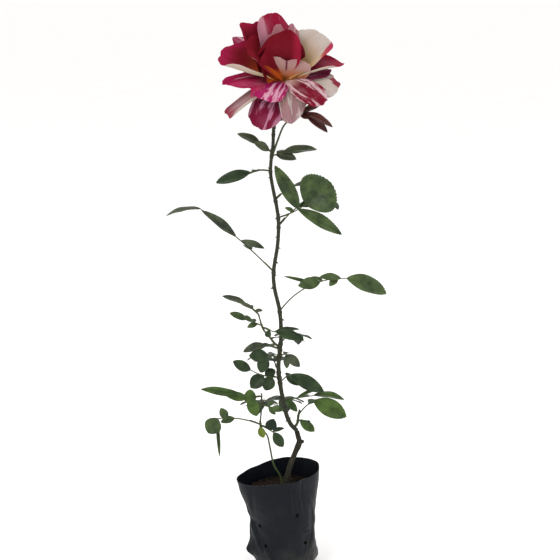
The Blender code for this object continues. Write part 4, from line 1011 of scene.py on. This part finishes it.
# Petals: each is a fan-shaped blade on the flower's axis, cupped across, with edges that may roll. Each row:
# turn about the axis (0 = right, 90 = up), opening from the axis at foot and tip, length, width of its
# clockwise side and of the other, cup, how far the blade reaches at five places from side to side, paint, and
# what only some have. foot: each side's width there over its whole; lip: degrees the far edge rolls back;
# curl: degrees the two sides roll forward; sweep: degrees it leans counter-clockwise on its way; wave: ruffle
# in mm; marks: its own paint.
petalRule = dict(shoulder=0.62, sink=3, cupAtFoot=0.35, thickness=0.3, across=40, along=40, steps=12)
petals = {
    "petalTopCentre": (109, (34, 46), 64, (17, 20), 22, (0.72, 0.95, 1.0, 0.97, 0.80), "crimson",
        dict(curl=(0, 50), marks=dict(window=(0.9, 0.4), cover=0.75))),
    "petalPaleRim": (88, (30, 42), 53, (14, 18), 30, (0.84, 1.0, 0.97, 1.03, 0.8), "blush",
        dict(lip=30, marks=dict(ground="#8c5560", stripe="#a88086", cover=0.3))),
    "petalUpperLeft": (134, (38, 60), 64, (26, 20), 30, (0.7, 0.90, 0.96, 1.04, 0.80), "deep",
        dict(foot=(0.8, 0.5), lip=-10, marks=dict(tip=(0.9, "#8c1038")))),
    "petalLeftTip": (142, (62, 84), 65, (14, 12), 20, (0.6, 0.85, 1.0, 0.9, 0.6), "striped", {}),
    "petalLeft": (172, (56, 80), 66, (24, 18), 30, (0.72, 0.96, 1.0, 0.97, 0.84), "deep",
        dict(foot=(0.9, 0.2), curl=(0, 95), marks=dict(tip=(0.84, "#8c123a"), footReach=0.7))),
    "petalInnerLeft": (172, (30, 52), 54, (28, 14), 40, (0.8, 0.97, 1.0, 0.9, 0.7), "deep",
        dict(foot=(0.8, 0.3), marks=dict(footReach=0.8))),
    "petalInnerTop": (120, (20, 36), 38, (26, 24), 40, (0.8, 0.97, 1.0, 0.97, 0.8), "deep",
        dict(foot=(0.7, 0.7))),
    "petalCentreRight": (86, (16, 34), 50, (18, 30), 58, (0.84, 0.97, 1.0, 0.88, 0.66), "deep",
        dict(foot=(0.1, 0.7), lip=-8, marks=dict(side=(0.0, 0.26, "#8a1830")))),
    "petalFrontSmall": (80, (8, 22), 25, (25, 15), 10, (0.90, 0.98, 0.86, 0.98, 0.92), "blush",
        dict(foot=(0.65, 0.6), wave=0.4, marks=dict(streak=(0.47, 0.03, "#5a1a2c"), footReach=0.7))),
    "petalUpperRight": (43, (46, 68), 56, (18, 24), 20, (1.02, 1.04, 1.0, 0.95, 0.78), "cream",
        dict(foot=(0.2, 0.6), sweep=-16,
             marks=dict(corner=(0.02, 1.0, 0.24, "#96143c"), foot="#a8844e", footReach=0.95))),
    "petalRight": (11, (60, 80), 58, (10, 17), 30, (0.9, 1.02, 0.98, 0.84, 0.6), "crimson",
        dict(foot=(0.3, 0.4), curl=(90, 0), sweep=-8, wave=0.6, marks=dict(footReach=0.5))),
    "petalDarkBit": (9, (70, 92), 46, (10, 9), 14, (0.9, 0.95, 1.0, 0.8, 0.6), "maroon", {}),
    "petalRightLow": (-10, (72, 102), 54, (22, 12), 12, (0.72, 0.93, 1.0, 0.97, 0.86), "cream",
        dict(foot=(0.5, 0.3), lip=10,
             marks=dict(side=(1, 0.05, "#5e0c22"), corner=(0.7, 1.0, 0.18, "#7a0f2c")))),
    "petalRightStriped": (-47, (60, 92), 55, (13, 15), -14, (0.72, 0.95, 1.0, 0.97, 0.8), "crimson",
        dict(foot=(0.1, 0.5),
             marks=dict(ground="#700a24", stripe="#bc9aa0", cover=0.5, count=5, foot="#b08a84",
                        footReach=0.4))),
    "petalFrontRight": (-79, (62, 122), 51, (11, 17), -16, (0.95, 1.0, 0.98, 0.86, 0.66), "blush",
        dict(foot=(0.5, 0.9),
             marks=dict(ground="#86626a", stripe="#aea19d", cover=0.5, foot="#94804a", footReach=0.4))),
    "petalFrontLeft": (-113, (58, 88), 40, (23, 11), -22, (0.8, 0.95, 1.0, 0.95, 0.8), "magenta",
        dict(foot=(0.6, 0.6), wave=0.8)),
    "petalHanging": (-115, (76, 128), 57, (19, 15), -24, (0.85, 0.97, 1.0, 0.95, 0.8), "maroon",
        dict(wave=0.8, marks=dict(ground="#6c0c2d", stripe="#a26880", cover=0.46, count=8))),
    "petalLeftLow": (-166, (66, 98), 60, (11, 20), 10, (0.9, 1.0, 0.9, 0.62, 0.66), "crimson",
        dict(foot=(0.3, 0.6), wave=1.4, marks=dict(ground="#981446"))),
    "petalRolled": (-146, (78, 114), 66, (9, 9), 60, (0.9, 1.0, 1.0, 1.0, 0.9), "blush",
        dict(curl=(90, 90), wave=0.3, marks=dict(tip=(0.88, "#7c0f2e"), ground="#9c7a80"))),
    "petalBackLeft": (142, (84, 128), 48, (22, 22), -14, (0.7, 0.95, 1.0, 0.95, 0.7), "striped",
        dict(wave=1.2)),
    "petalBackTop": (92, (80, 124), 50, (23, 23), -14, (0.7, 0.95, 1.0, 0.95, 0.7), "crimson",
        dict(wave=1.2)),
    "petalBackRight": (42, (98, 130), 48, (22, 22), -14, (0.7, 0.95, 1.0, 0.95, 0.7), "striped",
        dict(wave=1.2)),
}
paintFacts = ("ground", "shade", "stripe", "cover", "count", "foot", "footReach")
paints = {
    # ground, its colour darker towards the heart as painted shade of the bowl (the veins take it too), stripe,
    # share striped, stripes across, foot and its reach
    "crimson": ("#860c30", "#5e0818", "#a8707e", 0.12, 9, "#94501e", 0.3),
    # deep: the inner petals' dark red, partly their own colour and partly painted shade inside the bowl
    "deep": ("#6c0a1a", "#560612", "#7e2034", 0.1, 9, "#a84a14", 0.46),
    "magenta": ("#960e50", "#780c40", "#c08a9e", 0.42, 7, "#904a22", 0.25),
    "maroon": ("#560a28", "#4a0a20", "#94586e", 0.25, 10, "#5a2222", 0.25),
    "striped": ("#86224a", "#6a1430", "#b28a90", 0.5, 8, "#98702e", 0.3),
    "cream": ("#b0a5a0", "#a89478", "#94455a", 0.03, 6, "#a07448", 0.6),
    "blush": ("#a88480", "#a07a70", "#843a4c", 0.06, 6, "#a8643c", 0.45),
}


def petalMaterial(name, paint, seed):
    # rose petal: thin and velvety, veined lengthways, painted in broken stripes that fan from its foot
    material, tree, shader = newMaterial(name, 0.7, Specular_IOR_Level=0.08)
    uv = addNode(tree, "TexCoord").outputs["UV"]
    split = addNode(tree, "SeparateXYZ", {"Vector": uv}).outputs

    def streaks(across, along, shift, detail, roughness=0.5):  # grain that runs from the foot to the edge
        place = addNode(tree, "Mapping", {"Vector": uv}, Scale=(across, along, 1),
                        Location=(seed * 3.7, shift, seed)).outputs[0]
        return grainOf(tree, place, 1, detail, roughness)

    def near(line, low, high, first, last):  # by how far from a line along the petal
        off = reckon(tree, "ABSOLUTE", reckon(tree, "SUBTRACT", split["X"], line), 0)
        return ranged(tree, off, low, high, first, last)

    flames = streaks(paint["count"], 1.5, 0.3, 4, 0.6)
    flecks = streaks(paint["count"] * 4, 7, 5.1, 2)
    veins = streaks(56, 1.2, 9.4, 2)
    clouds = streaks(3, 2, 2.2, 3)
    along = reckon(tree, "ADD", split["Y"], ranged(tree, flames, 0.25, 0.75, -0.05, 0.05))
    # Painted shade: the ground darkens towards the foot, deep in the bowl.
    colour = mixColour(tree, ranged(tree, along, 0.2, 0.85), paint["shade"], paint["ground"])
    # The veins are drawn in the same darker colour.
    colour = mixColour(tree, ranged(tree, veins, 0.3, 0.75, 0, 0.35), colour, paint["shade"])
    colour = mixColour(tree, ranged(tree, clouds, 0.45, 0.8, 0, 0.3), colour, paint["stripe"])
    cut = 0.5 + (0.5 - paint["cover"]) * 0.42
    amount = flames
    if "window" in paint:  # the stripes gather about one line of the petal
        line, width = paint["window"]
        amount = reckon(tree, "SUBTRACT", flames, near(line, width * 0.4, width, 0, 0.35))
    stripe = reckon(tree, "MAXIMUM", ranged(tree, amount, cut - 0.03, cut + 0.05),
                    ranged(tree, flecks, 0.64, 0.72, 0, 0.4))
    colour = mixColour(tree, stripe, colour, paint["stripe"])
    if "tip" in paint:
        low, tip = paint["tip"]
        colour = mixColour(tree, ranged(tree, along, low - 0.12, low + 0.12, 0, 0.9), colour, tip)
    if "side" in paint:
        line, width, sideColour = paint["side"]
        colour = mixColour(tree, near(line, width * 0.5, width * 1.5, 1, 0), colour, sideColour)
    if "corner" in paint:
        east, north, radius, cornerColour = paint["corner"]
        away = addNode(tree, "VectorMath", {0: uv}, operation="DISTANCE")
        away.inputs[1].default_value = (east, north, 0)
        ragged = reckon(tree, "ADD", away.outputs["Value"], ranged(tree, flames, 0.25, 0.75, -0.06, 0.06))
        there = ranged(tree, ragged, radius * 0.75, radius * 1.1, 0.95, 0)
        colour = mixColour(tree, there, colour, cornerColour)
    if "streak" in paint:
        line, width, streakColour = paint["streak"]
        gone = reckon(tree, "MULTIPLY", near(line, width * 0.3, width, 1, 0),
                      ranged(tree, split["Y"], 0.35, 0.6, 0, 0.9))
        colour = mixColour(tree, gone, colour, streakColour)
    reach = paint["footReach"]
    colour = mixColour(tree, ranged(tree, along, reach * 0.25, reach, 1, 0), colour, paint["foot"])
    tree.links.new(colour, shader.inputs["Base Color"])
    bump(tree, shader, veins, 0.35, 0.25)
    return material


def betweenFive(values, u):  # a smooth value between five, u from -1 to 1
    spot = (u + 1) * 2
    i = min(int(spot), 3)
    t = spot - i
    before, a, b, after = values[max(i - 1, 0)], values[i], values[i + 1], values[min(i + 2, 4)]
    return 0.5 * (2 * a + (b - before) * t + (2 * before - 5 * a + 4 * b - after) * t * t
                  + (3 * a - before - 3 * b + after) * t ** 3)


reversePaint = ("#b4a49c", "#a89c74", "#a05a70", 0.1, 10, "#b4864c", 0.5)
petalReverse = petalMaterial("cream petal reverse", dict(zip(paintFacts, reversePaint)), 2.2)


def petalWay(turn):  # square to the flower's axis: 0 = right, a quarter turn = up
    return flowerRight * cos(turn) + flowerTop * sin(turn)


def layPetal(name, turn, opens, length, width, cup, edge, paint, foot=(0.5, 0.5), lip=0, curl=(0, 0), sweep=0,
             wave=1.0, marks={}):
    dice = random.Random(name)
    phase, jag = dice.uniform(0, fullTurn), dice.uniform(0, 50)
    outward = petalWay(radians(turn))
    sideways = flowerAxis.cross(outward)
    start = heart - flowerAxis * petalRule["sink"]
    across, along = petalRule["across"], petalRule["along"]
    columns = []
    for i in range(across + 1):  # each column is walked from the foot to the edge
        u = 2 * i / across - 1
        corner = max(0, 1 - abs(u) ** 9) ** (1 / 3)
        reach = betweenFive(edge, u) * lerp(0.86, 1, corner)
        reach += 0.025 * noise.noise(Vector((u * 2.5, jag, 0))) + 0.014 * noise.noise(Vector((u * 10, jag, 3)))
        spot = start.copy()
        column = []
        for j in range(along + 1):
            v = j / along
            place = v * reach
            opening = lerp(opens[0], opens[1], min(place + 0.08, 1.05)) + lip * smoothStep(0.7, 1, v)
            lean = radians(sweep * place)
            away = outward * cos(lean) + sideways * sin(lean)
            over = sideways * cos(lean) - outward * sin(lean)
            heading = away * sin(radians(opening)) + flowerAxis * cos(radians(opening))
            facing = flowerAxis * sin(radians(opening)) - away * cos(radians(opening))
            if j:
                spot = spot + heading * length * reach / along
            grown = sin(pi / 2 * min(place / petalRule["shoulder"], 1)) ** 1.3
            half = lerp(foot[u > 0], 1, grown) * width[u > 0] * smoothStep(-0.05, 0.06, v)
            bow = cup * min(1, petalRule["cupAtFoot"] + place)
            flatly = rise = 0
            for step in range(petalRule["steps"]):  # across the blade, turning with the cup and its side's curl
                s = u * (step + 0.5) / petalRule["steps"]
                slope = bow * s
                side = curl[1] if s > 0 else curl[0]
                slope += copysign(side * smoothStep(0.5, 1, abs(s)) * smoothStep(0.1, 0.5, v), s)
                flatly += cos(radians(slope)) * u / petalRule["steps"]
                rise += sin(radians(slope)) * u / petalRule["steps"]
            ruffle = wave * sin(u * 3 * pi + phase) * v ** 2.5
            ruffle += wave * 0.8 * noise.noise(Vector((u * 2.5, v * 2, jag))) * v * 2
            column.append(spot + over * half * flatly + facing * (half * rise + ruffle))
        columns.append(column)
    piece = layGrid(name, across, along, lambda u, v: columns[round(u * across)][round(v * along)] * mm)
    makeActive(piece)
    with editing():
        bpy.ops.mesh.flip_normals()  # so that the front of the sheet looks at the axis
    colours = {**dict(zip(paintFacts, paints[paint])), **marks}
    front = petalMaterial("velvet " + paint + " petal " + name[5:].lower(), colours, dice.uniform(0, 9))
    piece.data.materials.append(front)
    piece.data.materials.append(petalReverse)
    wall(piece, petalRule["thickness"], offset=0, skinSlot=1, rimSlot=0)
    setDown(piece, None, 70, "petals", "rose_bloom")


for name, (*facts, others) in petals.items():
    layPetal(name, *facts, **others)
print("petals made")

# Behind the petals the hip; in front of the heart the stamens.
hipShape = ((0.0, 0.24), (0.15, 0.55), (0.35, 0.66), (0.6, 0.6), (0.85, 1.0), (1.0, 0.9), (1.1, 0.3))


def hipRadius(share, angle, point):
    at = share * hipShape[-1][0]
    for low, high in zip(hipShape, hipShape[1:]):
        if at <= high[0]:
            return flower["hipRadius"] * lerp(low[1], high[1], smoothStep(low[0], high[0], at))
    return flower["hipRadius"] * hipShape[-1][1]


hipPath = [hipFoot.lerp(heart - flowerAxis * 1.5, k / 30) for k in range(31)]
setDown(layTube("roseHip", hipPath, 24, hipRadius), youngBark, 60, "green_bark", "rose_bloom")

# Five sepals, bent back behind the petals.
sepals = dict(count=5, first=20, length=15, width=5.5, opens=(92, 150), fold=24, thickness=0.5, behind=5,
              off=4.5, steps=24)


def laySepal(turn):
    outward = petalWay(radians(turn))
    side = flowerAxis.cross(outward)
    spots = [heart - flowerAxis * sepals["behind"] + outward * sepals["off"]]
    normals = []
    for k in range(sepals["steps"] + 1):
        lean = radians(lerp(*sepals["opens"], k / sepals["steps"]))
        heading = outward * sin(lean) + flowerAxis * cos(lean)
        spots.append(spots[-1] + heading * sepals["length"] / sepals["steps"])
        normals.append(outward * cos(lean) - flowerAxis * sin(lean))

    def place(u, v):
        row = round(v * sepals["steps"])
        across = (u - 0.5) * sepals["width"] * max(sin(pi * (0.22 + 0.78 * v)), 0.03) ** 0.8
        return (spots[row] + side * across + normals[row] * abs(across) * tan(radians(sepals["fold"]))) * mm
    piece = layGrid("sepal", 6, sepals["steps"], place)
    wall(piece, sepals["thickness"], offset=0)
    return piece


turns = [sepals["first"] + k * 360 / sepals["count"] for k in range(sepals["count"])]
sepalPiece = joinAs("sepals", [laySepal(turn) for turn in turns])
setDown(sepalPiece, youngBark, 60, "green_bark", "rose_bloom")
print("sepals made")

stamens = dict(count=46, shortest=3.5, longest=6, thread=0.18, pollen=0.6, deep=2, sag=0.6)
goldenTurn = 2.399963
dice = random.Random("stamens")
threads, pollens = [], []
for k in range(stamens["count"]):
    spread = radians(8 + 46 * sqrt(k / stamens["count"]) + dice.uniform(-4, 4))
    outward = petalWay(k * goldenTurn)
    away = outward * sin(spread) + flowerAxis * cos(spread)
    away = away * dice.uniform(stamens["shortest"], stamens["longest"])
    base = heart - flowerAxis * stamens["deep"] + outward * 1.2 * sin(spread)
    path = [base + away * t - flowerAxis * t * t * stamens["sag"] for t in (0, 0.33, 0.66, 1)]
    threads.append(layTube("thread", path, 5, lambda share, angle, point: stamens["thread"]))
    clearSelection()
    bpy.ops.mesh.primitive_uv_sphere_add(segments=8, ring_count=5, radius=stamens["pollen"] * mm,
                                         location=path[-1] * mm)
    pollen = bpy.context.object
    pollen.scale = (1, 0.6, 0.5)
    pollen.rotation_euler = [dice.uniform(0, 3) for axis in "xyz"]
    pollens.append(pollen)
threadPiece = joinAs("stamenThreads", threads)
pollenPiece = joinAs("stamenPollen", pollens)
bpy.ops.object.transform_apply(location=True, rotation=True, scale=True)
threadSkin = barkMaterial("stamen thread", "#7a2a14", "#b0602a", "#c98a3a", 0.36, 0.5, 0.02, 900)
pollenSkin = barkMaterial("ripe pollen", "#7a3c12", "#a8641e", "#4a200c", 0.36, 0.8, 0.05, 1500)
setDown(threadPiece, threadSkin, 60, "petals", "rose_bloom")
setDown(pollenPiece, pollenSkin, 60, "petals", "rose_bloom")
print("stamens made")
